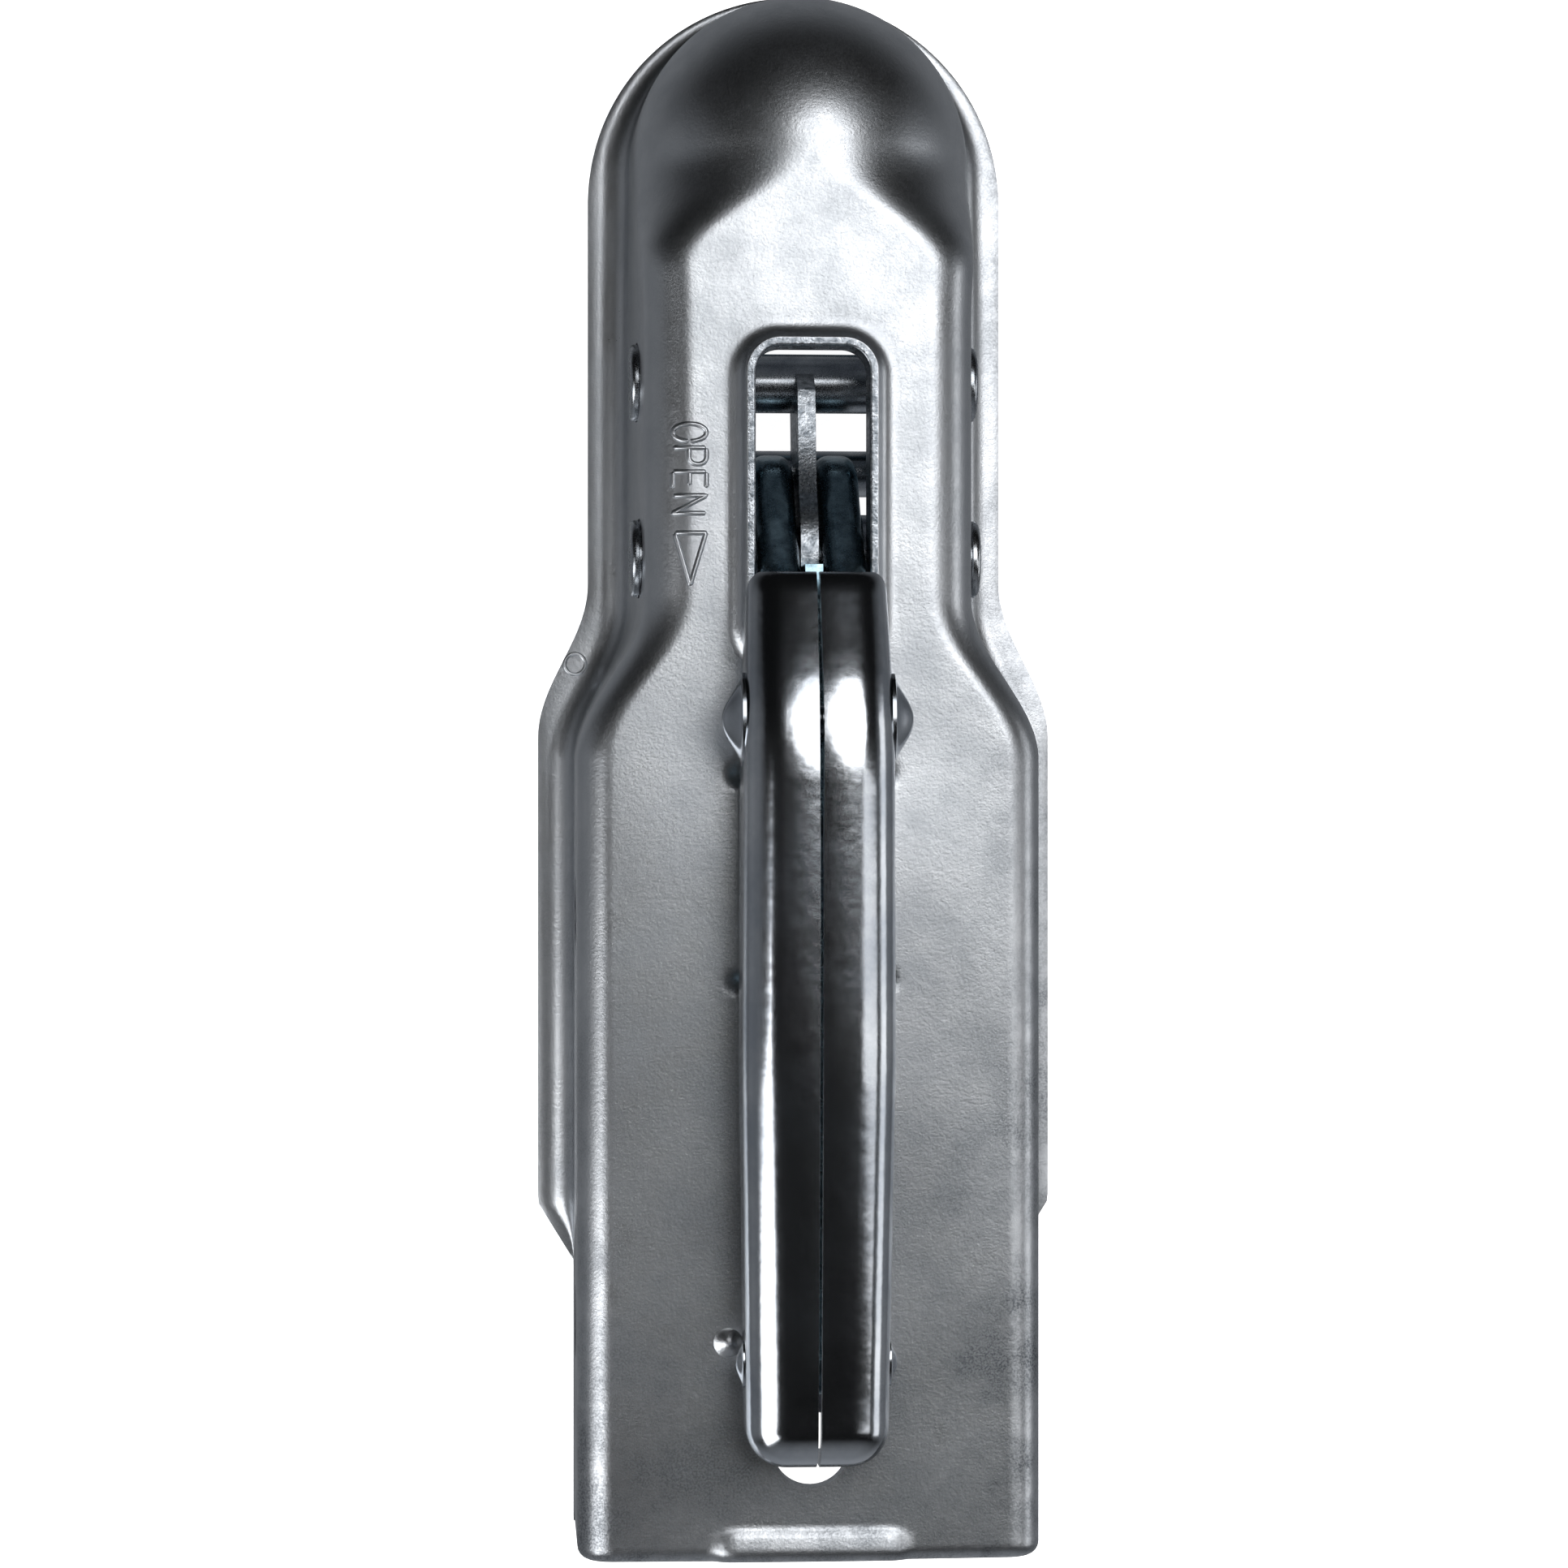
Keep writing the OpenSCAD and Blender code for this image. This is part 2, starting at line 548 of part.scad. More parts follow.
// One leg passes close behind the bar and the other lies under the bend of the top
leg_start = [front_pin_y - clamp_coil_r, front_pin_z];
leg_way = [bar_y, bar_z] - leg_start;
leg_turn = atan2(leg_way[1], leg_way[0]) - asin((bar_d / 2 + clamp_wire_r + side_play) / norm(leg_way));
clamp_path = torsion_path(clamp_coil_x, front_pin_y, front_pin_z, clamp_coil_r, clamp_turns, clamp_pitch, 180,
    [clamp_coil_x, leg_start[0] + norm(leg_way) * cos(leg_turn), leg_start[1] + norm(leg_way) * sin(leg_turn)],
    [half_top(front_pin_y) - bend_r(front_pin_y) + clamp_wire_d, front_pin_y - spring_leg,
        top_z - sheet_t - clamp_wire_d - side_play]);
module clamp_spring_right() color(zinc) wire(clamp_path, clamp_wire_r);
module clamp_spring_left() color(zinc) mirror([1, 0, 0]) wire(clamp_path, clamp_wire_r);

// Cam plate: hub on the pivot pin, cam to the front and a leg up into the handle
cam_tip_a = -60;
cam_top_a = 20;
cam_step_a = 8;
leg_end = rivet_front_back + 16;
leg_front = 8;
leg_chamfer = 7;
// The leg stays clear of the round corners of the slot and follows the roof of the handle
leg_back = -slot_front - slot_l + slot_corner - 1;
slot_back = -slot_front - slot_l;
lip_top = top_z + lip_h;
roof_gap = 1.2;
function leg_top(y) = handle_roof(y) - handle_round + roof_gap;
function cam_r(a) = cam_tip_r - cam_fall * (a - cam_tip_a - 6);
module cam(s) {
    difference() {
        side_plate(s > 0 ? cam_in : -cam_out, s > 0 ? cam_out : -cam_in) {
            translate([pivot_y, pivot_z]) circle(cam_hub_r);
            polygon(concat(
                [[pivot_y, pivot_z - cam_hub_r]],
                [for (a = [cam_tip_a:cam_step_a:cam_top_a]) polar(cam_r(a), a)],
                [polar(cam_hub_r + 1, 65), [pivot_y - 2, leg_top(pivot_y - leg_front) - leg_chamfer]],
                [for (y = [pivot_y - leg_front, hood_y, top_y, -leg_end]) [y, leg_top(y)]],
                [[-leg_end, handle_low + 1.5], [slot_back - 3, lip_top + 2], [leg_back, lip_top], polar(cam_hub_r, 165)]));
        }
        cross_bar(pivot_y, pivot_z, pivot_d / 2 + run_play, -rear_w, rear_w);
        cross_bar(-rivet_front_back, rivet_front_z, rivet_d / 2, -rear_w, rear_w);
    }
}
module cam_left() color(dark_zinc) cam(-1);
module cam_right() color(dark_zinc) cam(1);

// Stations of the handle: place along the body, half width and height of the top
handle_end = handle_front + handle_l;
end_fall = 5;
// The hull of the stations starts this far before the open front end, where it is cut off
lead = 12;
hood_slope = (hood_fall - brow_fall) / hood_l;
lead_half = handle_front_w / 2 - 0.4;
top_y = -handle_front - handle_l / 4;
hood_y = -handle_front - hood_l;
hood_half = mix(handle_w / 2, lead_half, (hood_y - top_y) / (lead - handle_front - top_y));
stations = [
    [lead - handle_front, lead_half, handle_top - hood_fall - lead * hood_slope],
    [hood_y, hood_half, handle_top - brow_fall],
    [top_y, handle_w / 2, handle_top],
    [-handle_front - 0.55 * handle_l, handle_w / 2, handle_top - end_fall / 10],
    [-handle_end + handle_round, handle_w / 2 - 0.8, handle_top - end_fall]];
function handle_roof(y) = lookup(y, [for (s = stations) [s[0], s[2]]]);
function handle_half(y) = lookup(y, [for (s = stations) [s[0], s[1]]]);
module handle_block(inset) {
    r = handle_round - inset;
    hull() for (s = stations, x = [-1, 1]) translate([x * (s[1] - handle_round), s[0], 0]) {
        translate([0, 0, s[2] - handle_round]) sphere(r, $fn = 32);
        cylinder(r = r, h = s[2] - handle_round, $fn = 32);
    }
}
// Side view of the half shells: the lower edge sweeps up at the front to clear the lip and rises a little at the rear
module handle_side() {
    polygon(concat(
        [[-handle_front, handle_top + cut]],
        [for (t = [0:0.15:0.9]) [-handle_front - sweep_l * t, handle_low + sweep_h * pow(1 - t, 3)]],
        [[-handle_front - sweep_l, handle_low]],
        [for (t = [1:-0.25:0]) [-handle_end + tail_l * t, handle_low + tail_h * pow(1 - t, 2)]],
        [[-handle_end - cut, handle_low + tail_h], [-handle_end - cut, handle_top + cut]]));
}
module half_shell(s) {
    difference() {
        intersection() {
            difference() {
                handle_block(0);
                handle_block(shell_t);
            }
            side_plate(s > 0 ? seam_gap / 2 : -handle_w, s > 0 ? handle_w : -seam_gap / 2) handle_side();
        }
        cross_bar(-rivet_front_back, rivet_front_z, rivet_d / 2, -rear_w, rear_w);
        cross_bar(-rivet_rear_back, rivet_rear_z, rivet_d / 2, -rear_w, rear_w);
    }
}
module handle_left() color(zinc) half_shell(-1);
module handle_right() color(zinc) half_shell(1);

seat_play = 0.2;
dome_share = 0.62;
// Rivet with a domed head on each side of the handle
module rivet(y, z, head_d, head_h) {
    seat = handle_half(y) + seat_play;
    cross_bar(y, z, rivet_d / 2, -seat - head_h / 2, seat + head_h / 2);
    for (s = [-1, 1]) translate([s * seat, y, z]) rotate([0, s * quarter, 0]) rotate_extrude() intersection() {
        square([head_d / 2, head_h]);
        translate([0, head_h - head_d * dome_share]) circle(head_d * dome_share);
    }
}
module front_rivet() color(zinc) rivet(-rivet_front_back, rivet_front_z, boss_d, boss_h);
module rear_rivet() color(zinc) rivet(-rivet_rear_back, rivet_rear_z, rear_head_d, rear_head_h);

// Spacers on the rear rivet keep the release lever in the middle of the handle
spacer_wall = 1.2;
spacer_r = rivet_d / 2 + spacer_wall;
spacer_in = plate_t / 2 + side_play;
spacer_out = handle_half(-rivet_rear_back) - shell_t - 2 * side_play;
module lever_spacer(s) {
    difference() {
        side_bar(s, -rivet_rear_back, rivet_rear_z, spacer_r, spacer_in, spacer_out);
        cross_bar(-rivet_rear_back, rivet_rear_z, rivet_d / 2, -rear_w, rear_w);
    }
}
module lever_spacer_left() color(zinc) lever_spacer(-1);
module lever_spacer_right() color(zinc) lever_spacer(1);

// Release lever: a plate on edge with a tooth at the front and a finger pad below
tooth_y = pivot_y - 4;
tooth_w = 4;
tooth_gap = 0.5;
tooth_low = pivot_z + rim_r + tooth_gap;
lever_low = lip_top + 3 * side_play;
lever_h = 3.5;
lever_top = lever_low + lever_h;
finger_low = handle_low - finger_drop;
finger_front = rivet_front_back + 24;
finger_back = rivet_rear_back - 14;
finger_corner = 4;
eye_r = rivet_d / 2 + 2.5;
module release_lever() color(dark_zinc) {
    difference() {
        union() {
            side_plate(-plate_t / 2, plate_t / 2) {
                polygon([[tooth_y + tooth_w / 2, tooth_low], [tooth_y + tooth_w / 2, lever_top],
                    [-rivet_front_back - eye_r, lever_top], [-finger_front, lever_top + finger_t],
                    [-rivet_rear_back, rivet_rear_z + eye_r], [-rivet_rear_back, rivet_rear_z - eye_r],
                    [-finger_back, finger_low], [-finger_front, finger_low], [-finger_front + lever_h, lever_low],
                    [tooth_y - tooth_w / 2, lever_low], [tooth_y - tooth_w / 2, tooth_low + tooth_gap],
                    [tooth_y, tooth_low]]);
                translate([-rivet_rear_back, rivet_rear_z]) circle(eye_r);
            }
            translate([0, -(finger_front + finger_back) / 2, finger_low]) linear_extrude(finger_t)
                rounded_plan(finger_w, finger_back - finger_front, finger_corner);
        }
        cross_bar(-rivet_rear_back, rivet_rear_z, rivet_d / 2 + run_play, -rear_w, rear_w);
    }
}

// The coil sits round the left spacer, one leg on the finger pad and the other under the roof of the handle
lever_wire_r = lever_wire_d / 2;
lever_coil_r = spacer_r + lever_wire_r + seat_play;
lever_coil_x = -spacer_out + lever_wire_r;
lever_pitch = lever_wire_d + coil_gap;
lever_turns = 3.5;
lever_leg = 22;
lever_leg_y = lever_leg - rivet_rear_back;
lever_path = torsion_path(lever_coil_x, -rivet_rear_back, rivet_rear_z, lever_coil_r, lever_turns, lever_pitch, -quarter,
    [-finger_w / 2 + lever_wire_r, lever_leg_y, finger_low + finger_t + lever_wire_r + coil_gap],
    [lever_coil_x + lever_pitch * lever_turns, lever_leg_y, handle_roof(lever_leg_y) - shell_t - lever_wire_d]);
module lever_spring() color(zinc) wire(lever_path, lever_wire_r);

housing();
front_pin();
pivot_pin();
catch_plate();
pivot_bush_left();
pivot_bush_right();
ball_clamp();
clamp_bar();
clamp_spring_left();
clamp_spring_right();
handle_left();
handle_right();
cam_left();
cam_right();
front_rivet();
rear_rivet();
lever_spacer_left();
lever_spacer_right();
release_lever();
lever_spring();
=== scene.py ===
# %% [markdown]
# # A pressed steel trailer coupling head
# This notebook dresses a working CAD model of a coupling head: the part that a trailer drops over a towing
# ball. CAD has already made every moving part at its real size. Here each of them gets a finer surface and a
# zinc finish. A shape is worked out with numpy as whole arrays of points, and Blender only receives the
# finished mesh.

# %% Load the frame
import json
import math
import bmesh
import bpy
import numpy as np
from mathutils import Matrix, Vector
from mathutils.geometry import tessellate_polygon

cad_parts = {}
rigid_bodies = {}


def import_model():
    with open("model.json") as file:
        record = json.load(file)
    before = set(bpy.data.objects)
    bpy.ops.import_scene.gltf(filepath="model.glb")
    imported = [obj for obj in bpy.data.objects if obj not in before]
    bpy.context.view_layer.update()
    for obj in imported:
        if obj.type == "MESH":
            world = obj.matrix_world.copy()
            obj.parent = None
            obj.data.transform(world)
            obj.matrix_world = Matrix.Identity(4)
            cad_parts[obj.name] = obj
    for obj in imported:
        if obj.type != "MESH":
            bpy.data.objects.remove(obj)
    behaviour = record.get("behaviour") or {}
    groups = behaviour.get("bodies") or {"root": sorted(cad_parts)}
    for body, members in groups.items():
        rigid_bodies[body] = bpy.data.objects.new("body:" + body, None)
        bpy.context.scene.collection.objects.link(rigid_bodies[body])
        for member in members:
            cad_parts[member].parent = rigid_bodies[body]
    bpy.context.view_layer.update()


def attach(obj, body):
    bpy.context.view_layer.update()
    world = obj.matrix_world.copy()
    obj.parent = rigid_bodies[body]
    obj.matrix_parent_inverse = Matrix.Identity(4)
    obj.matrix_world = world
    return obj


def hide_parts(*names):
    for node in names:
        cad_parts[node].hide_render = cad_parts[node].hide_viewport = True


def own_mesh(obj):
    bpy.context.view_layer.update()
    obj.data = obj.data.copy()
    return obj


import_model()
MM = 0.001

# %% [markdown]
# ## Measures
# The head is one pressing: a dome over the ball, a narrow neck and a wide box for the drawbar. Each of its
# measures is a curve along the length, so one function of Y gives the width, and a soft step blends dome,
# neck and box. The origin is the centre of the ball, +Y points over the nose and +Z is up. All values are in
# millimetres.

# %% Named sizes of the pressing
SHEET = 3.5
DOME_R = 28.7
TOP_Z = 28.7
FOOT_Z = -16.5
NECK_HALF, NECK_FOOT_HALF, NECK_BEND = 27.4, 29.8, 8.0
REAR_HALF, REAR_BEND, REAR_Y = 38.5, 6.0, -234.5
DOME_DRAFT, DOME_RUN, BEND_RUN = 0.5, 30.0, 21.0
SHOULDER_Y, SHOULDER_RUN = -75.0, 27.0
FLANGE_REACH, FLANGE_SHOULDER_Y = 6.2, -71.0
FLANGE_END_Y, FLANGE_SLANT, FOOT_BEND, LEAST_FOOT_BEND, FOOT_SHARE = -179.0, 10.0, 4.4, 0.8, 0.75
NOSE_FLANGE_R, NOSE_FLANGE_BACK, FLANGE_DROOP = 36.0, 4.5, 0.22


def ease(t):
    """Soft step: half of one minus the cosine of pi t, held at 0 before t = 0 and at 1 after t = 1."""
    return 0.5 - 0.5 * np.cos(np.pi * np.clip(t, 0, 1))


def mix(a, b, t):
    """Straight blend from a to b as t runs from 0 to 1."""
    return a + (b - a) * t


def along(y, dome, neck, rear, run=DOME_RUN):
    """A measure along the body: dome at y = 0, neck from one run behind it, and box behind the shoulders."""
    return mix(mix(dome, neck, ease(-y / run)), rear, ease((SHOULDER_Y - y) / SHOULDER_RUN))


def half_top(y):
    """Half width at the top bend."""
    return along(y, DOME_R, NECK_HALF, REAR_HALF)


def half_foot(y):
    """Half width at the foot of the wall."""
    return along(y, DOME_R + DOME_DRAFT, NECK_FOOT_HALF, REAR_HALF)


def bend_radius(y):
    """Radius of the top bend: nearly the whole dome at the nose and a tight bend behind it."""
    return along(y, DOME_R - DOME_DRAFT, NECK_BEND, REAR_BEND, BEND_RUN)


def wall_lean(y):
    """Angle by which the wall leans outwards on its way down, in radians."""
    return np.arctan2(half_foot(y) - half_top(y), TOP_Z - bend_radius(y) - FOOT_Z)


def wall_at(y, z):
    """Outer half width of the wall at height z: straight between the end of the bend and the foot."""
    top = TOP_Z - bend_radius(y)
    return mix(half_top(y), half_foot(y), np.clip((top - z) / (top - FOOT_Z), 0, None))


print("Neck is", 2 * NECK_HALF, "mm wide, the box", 2 * REAR_HALF, "mm")

# %% [markdown]
# ## From arrays to meshes
# Most pieces are grids: rows of points with the same number of columns. Four neighbours make a face, so one
# formula numbers the corners of every face at once. Grids that share an edge are joined by merging points
# that lie in one place. Where the cut steel has an edge, a Bevel modifier rounds it a little, because no real
# edge is perfectly sharp and the round part catches the light.


# %% Grids and joining
def grid(points, closed=False, keep=None):
    """Points and four-sided faces of a grid of shape (rows, columns, 3).

    The point in row i and column j has the number i times columns plus j. closed joins the last column to the
    first, and keep leaves faces out.
    """
    rows, cols = points.shape[:2]
    i, j = np.meshgrid(np.arange(rows - 1), np.arange(cols if closed else cols - 1), indexing="ij")
    across = (j + 1) % cols
    quads = np.stack([i * cols + j, i * cols + across, (i + 1) * cols + across, (i + 1) * cols + j], axis=-1)
    quads = quads[keep] if keep is not None else quads.reshape(-1, 4)
    return points.reshape(-1, 3), [tuple(q) for q in quads.tolist()]


def join(*parts):
    """One list of points and faces from several, each with its faces counted on from the last."""
    points, faces = [], []
    for part_points, part_faces in parts:
        start = sum(len(p) for p in points)
        points.append(np.asarray(part_points, dtype=float))
        faces += [tuple(k + start for k in face) for face in part_faces]
    return np.concatenate(points), faces


print("A grid of 3 rows and 4 columns has", len(grid(np.zeros((3, 4, 3)))[1]), "faces")

# %% A finished piece
SHARP_TURN = math.radians(40)


def piece(name, part, body, material, replaces=(), edge=0.0, edge_steps=2, merge=0.002):
    """A finished object from points in millimetres and faces: doubles merged and faces turned outwards."""
    points, faces = part
    mesh = bpy.data.meshes.new(name)
    mesh.from_pydata((points * MM).tolist(), [], faces)
    work = bmesh.new()
    work.from_mesh(mesh)
    bmesh.ops.remove_doubles(work, verts=work.verts, dist=merge * MM)
    bmesh.ops.dissolve_degenerate(work, edges=work.edges, dist=merge * MM)
    bmesh.ops.recalc_face_normals(work, faces=work.faces)
    open_edges = sum(not e.is_manifold for e in work.edges)
    work.to_mesh(mesh)
    work.free()
    mesh.shade_smooth()
    mesh.set_sharp_from_angle(angle=SHARP_TURN)
    obj = bpy.data.objects.new(name, mesh)
    bpy.context.scene.collection.objects.link(obj)
    mesh.materials.append(material)
    if edge:
        bevel = obj.modifiers.new("Rounded edges", "BEVEL")
        bevel.width = edge * MM
        bevel.segments = edge_steps
        bevel.limit_method = "ANGLE"
        bevel.angle_limit = SHARP_TURN
        bevel.harden_normals = True
    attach(obj, body)
    if replaces:
        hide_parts(*replaces)
    print(f"{name}: {len(mesh.vertices)} points, {len(mesh.polygons)} faces, {open_edges} open edges")
    return obj


# %% [markdown]
# ## Zinc
# Almost everything here is steel with a thin coat of electroplated zinc. Zinc plating is bright but never a
# mirror: the sheet has a fine orange peel from the press, and the coat is cloudy where the bath was uneven.
# Each finish below is one metal with its own colour, roughness and relief. The scale of each pattern is
# worked out from its size in millimetres, and all patterns read Object coordinates, so they stay put when a
# part moves.


# %% Colours and nodes
def colour(hex_code):
    """A colour given on screen as linear red, green, blue and alpha."""
    parts = [int(hex_code[k:k + 2], 16) / 255 for k in (1, 3, 5)]
    return tuple(c / 12.92 if c <= 0.04045 else ((c + 0.055) / 1.055) ** 2.4 for c in parts) + (1.0,)


def add(tree, kind, inputs=(), **settings):
    """Adds one shader node. Each input is a value, or the output of another node that feeds it.

    inputs is a list in the order of the node's own inputs, or a dictionary by their names or numbers.
    """
    node = tree.nodes.new("ShaderNode" + kind)
    for key, value in settings.items():
        setattr(node, key, value)
    for key, value in inputs.items() if isinstance(inputs, dict) else enumerate(inputs):
        if isinstance(value, bpy.types.NodeSocket):
            tree.links.new(value, node.inputs[key])
        else:
            node.inputs[key].default_value = value
    return node


def per_mm(size):
    """Scale of a noise whose features are about this many millimetres wide, on coordinates in metres."""
    return 1.0 / (size * MM)


print("Middle grey on screen is", round(colour("#808080")[0], 3), "in linear light")

# %% [markdown]
# ## One function for every metal
# Zinc is clouded by the bath, dimpled by the press and grained by its crystals. Three noise patterns stand
# for these: clouds mix two tones, bumps give the orange peel, and a fine grain changes both the relief and
# the roughness. Written once as a function, they make finishes that differ only in their numbers.


# %% Dirt and painted shade
# Size of the patches and tone of the darkening: painted shade with a dirt-like grain of specks.
DIRT_AND_SHADE_PATCH, DIRT_AND_SHADE_TONE = 18.0, "#3E444B"


def dirt_and_painted_shade(tree, place, tone, specks, most):
    """The tone with specks of its grain darkened in patches, as dirt and as painted shade, mostly towards the
    rear and the right edge.

    A Map Range node turns its first input, between the next two values, into a value between the last two.
    """
    axes = add(tree, "SeparateXYZ", [place]).outputs
    patches = add(tree, "TexNoise", {"Vector": place, "Scale": per_mm(DIRT_AND_SHADE_PATCH), "Detail": 5.0,
                                     "Roughness": 0.7}).outputs[0]
    # The darkening grows towards the rear and the right edge as painted shade, where the sheet mirrors less
    # of the lights.
    to_rear = add(tree, "MapRange", [axes[1], -0.100, -0.225, 0.0, 0.75]).outputs[0]
    to_right = add(tree, "MapRange", [axes[0], 0.020, 0.038, 0.0, 0.35]).outputs[0]
    shade_reach = add(tree, "Math", [to_rear, to_right]).outputs[0]
    patchy = add(tree, "MapRange", [patches, 0.40, 0.62, 0.0, 1.0]).outputs[0]
    specky = add(tree, "MapRange", [specks, 0.40, 0.60, 0.35, 1.0]).outputs[0]
    reach = add(tree, "Math", [patchy, shade_reach], operation="MULTIPLY").outputs[0]
    shaded_specks = add(tree, "Math", [reach, specky], operation="MULTIPLY").outputs[0]
    share = add(tree, "MapRange", [shaded_specks, 0.0, 1.0, 0.0, most]).outputs[0]
    return add(tree, "Mix", {0: share, 6: tone, 7: colour(DIRT_AND_SHADE_TONE)}, data_type="RGBA").outputs[2]


# %% One plated metal
def plated(name, light, dark, rough, rough_play, cloud, peel, peel_depth, grain, grain_depth,
           stretch=(1, 1, 1), dirt_and_shade=0.0):
    """A metal whose colour clouds between two tones, with orange peel and a finer grain as relief.

    cloud, peel and grain are the sizes of the patterns, and the depths are heights of the relief, all in mm.
    """
    material = bpy.data.materials.new(name)
    material.use_nodes = True
    tree = material.node_tree
    tree.nodes.clear()
    place = add(tree, "TexCoord").outputs["Object"]
    stretched = add(tree, "Mapping", {"Vector": place, "Scale": stretch}).outputs[0]
    clouds = add(tree, "TexNoise", {"Vector": place, "Scale": per_mm(cloud), "Detail": 6.0,
                                    "Roughness": 0.6}).outputs[0]
    bumps = add(tree, "TexNoise", {"Vector": place, "Scale": per_mm(peel), "Detail": 2.0}).outputs[0]
    specks = add(tree, "TexNoise", {"Vector": stretched, "Scale": per_mm(grain), "Detail": 3.0}).outputs[0]
    share = add(tree, "MapRange", [clouds, 0.35, 0.65, 0.0, 1.0]).outputs[0]
    tone = add(tree, "Mix", {0: share, 6: colour(light), 7: colour(dark)}, data_type="RGBA").outputs[2]
    if dirt_and_shade:
        tone = dirt_and_painted_shade(tree, place, tone, specks, dirt_and_shade)
    fine = add(tree, "MapRange", [specks, 0.3, 0.7, -rough_play, rough_play]).outputs[0]
    coarse = add(tree, "MapRange", [clouds, 0.3, 0.7, rough - rough_play, rough + rough_play]).outputs[0]
    worn = add(tree, "Math", [fine, coarse]).outputs[0]
    dimples = add(tree, "Bump", {"Height": bumps, "Distance": peel_depth * MM, "Strength": 1.0}).outputs[0]
    relief = add(tree, "Bump", {"Height": specks, "Distance": grain_depth * MM, "Strength": 1.0,
                                "Normal": dimples}).outputs[0]
    shader = add(tree, "BsdfPrincipled", {"Base Color": tone, "Metallic": 1.0, "Roughness": worn,
                                          "Normal": relief})
    tree.links.new(shader.outputs[0], add(tree, "OutputMaterial").inputs[0])
    return material


# %% [markdown]
# ## Six finishes
# Each finish is one bath or one way of working the steel. The numbers in each line are the roughness and its
# play, the size of the clouds, the size and depth of the peel, and the size and depth of the grain.

# %% The six finishes
# Bright zinc on deep-drawn sheet: cloudy, with an orange peel of about 0.8 mm from the stretched steel, and
# specks darkened as dirt and painted shade towards the rear and the right edge.
drawn_zinc = plated("bright_zinc_on_drawn_sheet", "#CDD0D4", "#BFC3C8", 0.35, 0.04, 9.0, 0.75, 0.022, 0.36,
                    0.022, dirt_and_shade=0.85)
# Bright zinc on the folded handle: smoother and brighter than the deep-drawn head.
handle_zinc = plated("bright_zinc_on_folded_handle", "#CDD1D6", "#AEB4BC", 0.17, 0.03, 14.0, 4.0, 0.055,
                     0.25, 0.002)
# Zinc on turned and riveted steel: even, with a trace of the lathe.
turned_zinc = plated("zinc_on_turned_steel", "#C4C8CC", "#9DA3AB", 0.26, 0.05, 5.0, 1.0, 0.006, 0.25, 0.004)
# Blue passivated zinc on thick stamped plate: darker, bluish and grained.
blue_zinc = plated("blue_zinc_on_stamped_plate", "#93ABB5", "#5C727E", 0.24, 0.06, 4.0, 2.6, 0.10, 0.3, 0.008)
# Drawn spring wire with a thin zinc coat.
wire_zinc = plated("zinc_on_spring_wire", "#B4B8BD", "#8D939B", 0.25, 0.04, 3.0, 0.8, 0.004, 0.25, 0.002)
# Sheared edge of thick plate: fine lines across the thickness where the blade tore the steel.
sheared_zinc = plated("zinc_on_sheared_edge", "#B9BEC4", "#71787F", 0.32, 0.06, 1.2, 0.7, 0.03, 0.4, 0.05,
                      stretch=(1, 1, 0.12))
print("Materials:", [m.name for m in bpy.data.materials])

# %% [markdown]
# ## The pressed head
# The real head is one sheet, deep-drawn over a punch. Its section runs from the ridge over a bend and down a
# leaning wall to a flange that stands out at the foot. A plane with a Solidify modifier could give the
# thickness, but its corners get thinner in tight bends. So the section is worked out twice, once for the
# outer skin and once set in by the thickness of the sheet, and the two together make a closed wall. Round the
# nose the section turns about the ball's upright axis, which makes the dome and its flange without a seam.

# %% The section of the sheet
TOP_N, BEND_N, WALL_N, FOOT_N, FLANGE_N = 24, 20, 14, 6, 6
HALF_N = TOP_N + BEND_N + WALL_N + FOOT_N + FLANGE_N + 1


def half_section(y, inset, edge):
    """Half of the section at each y, from the ridge to the edge of the flange, as arrays of X and Z.

    inset moves it into the sheet. A flat top, an arc from straight up to the lean of the wall, the wall, an
    arc back to level, and the flange out to edge. Past the flange's cut end the last arc shrinks to nothing.
    """
    y, inset, edge = (np.atleast_1d(v)[:, None] * 1.0 for v in (y, inset, edge))
    half, radius, lean = half_top(y), bend_radius(y), wall_lean(y)
    fade = np.clip((FLANGE_END_Y - y) / FLANGE_SLANT, 0, 1)
    steps = [np.linspace(0, 1, n + 1)[None, 1:] for n in (TOP_N, BEND_N, WALL_N, FOOT_N, FLANGE_N)]
    flat_x, flat_z = steps[0] * (half - radius), TOP_Z - inset + 0 * steps[0]
    turn = np.pi / 2 - (np.pi / 2 - lean) * steps[1]
    bend_x = half - radius + (radius - inset) * np.cos(turn)
    bend_z = TOP_Z - radius + (radius - inset) * np.sin(turn)
    foot_r = np.clip(FOOT_SHARE * (edge - half_foot(y)), LEAST_FOOT_BEND, FOOT_BEND)
    foot_r = (foot_r + inset) * (1 - fade)
    foot_z = np.where(inset > SHEET / 2, FOOT_Z, FOOT_Z + SHEET)
    start_z = foot_z + foot_r * (1 - np.sin(lean))
    start_x = wall_at(y, start_z) - inset / np.cos(lean)
    wall_x, wall_z = mix(bend_x[:, -1:], start_x, steps[2]), mix(bend_z[:, -1:], start_z, steps[2])
    back = np.pi + lean + (np.pi / 2 - lean) * steps[3]
    foot_x = start_x + foot_r * (np.cos(lean) + np.cos(back))
    arc_z = foot_z + foot_r * (1 + np.sin(back))
    droop = np.where(inset > SHEET / 2, 0, FLANGE_DROOP) * (1 - fade)
    flange_x, flange_z = mix(foot_x[:, -1:], edge, steps[4]), foot_z - droop * steps[4] ** 2 + 0 * edge
    first = 0 * half
    x = np.concatenate([first, flat_x, bend_x, wall_x, foot_x, flange_x], axis=1)
    z = np.concatenate([TOP_Z - inset + first, flat_z + first, bend_z, wall_z, arc_z, flange_z], axis=1)
    return x, z


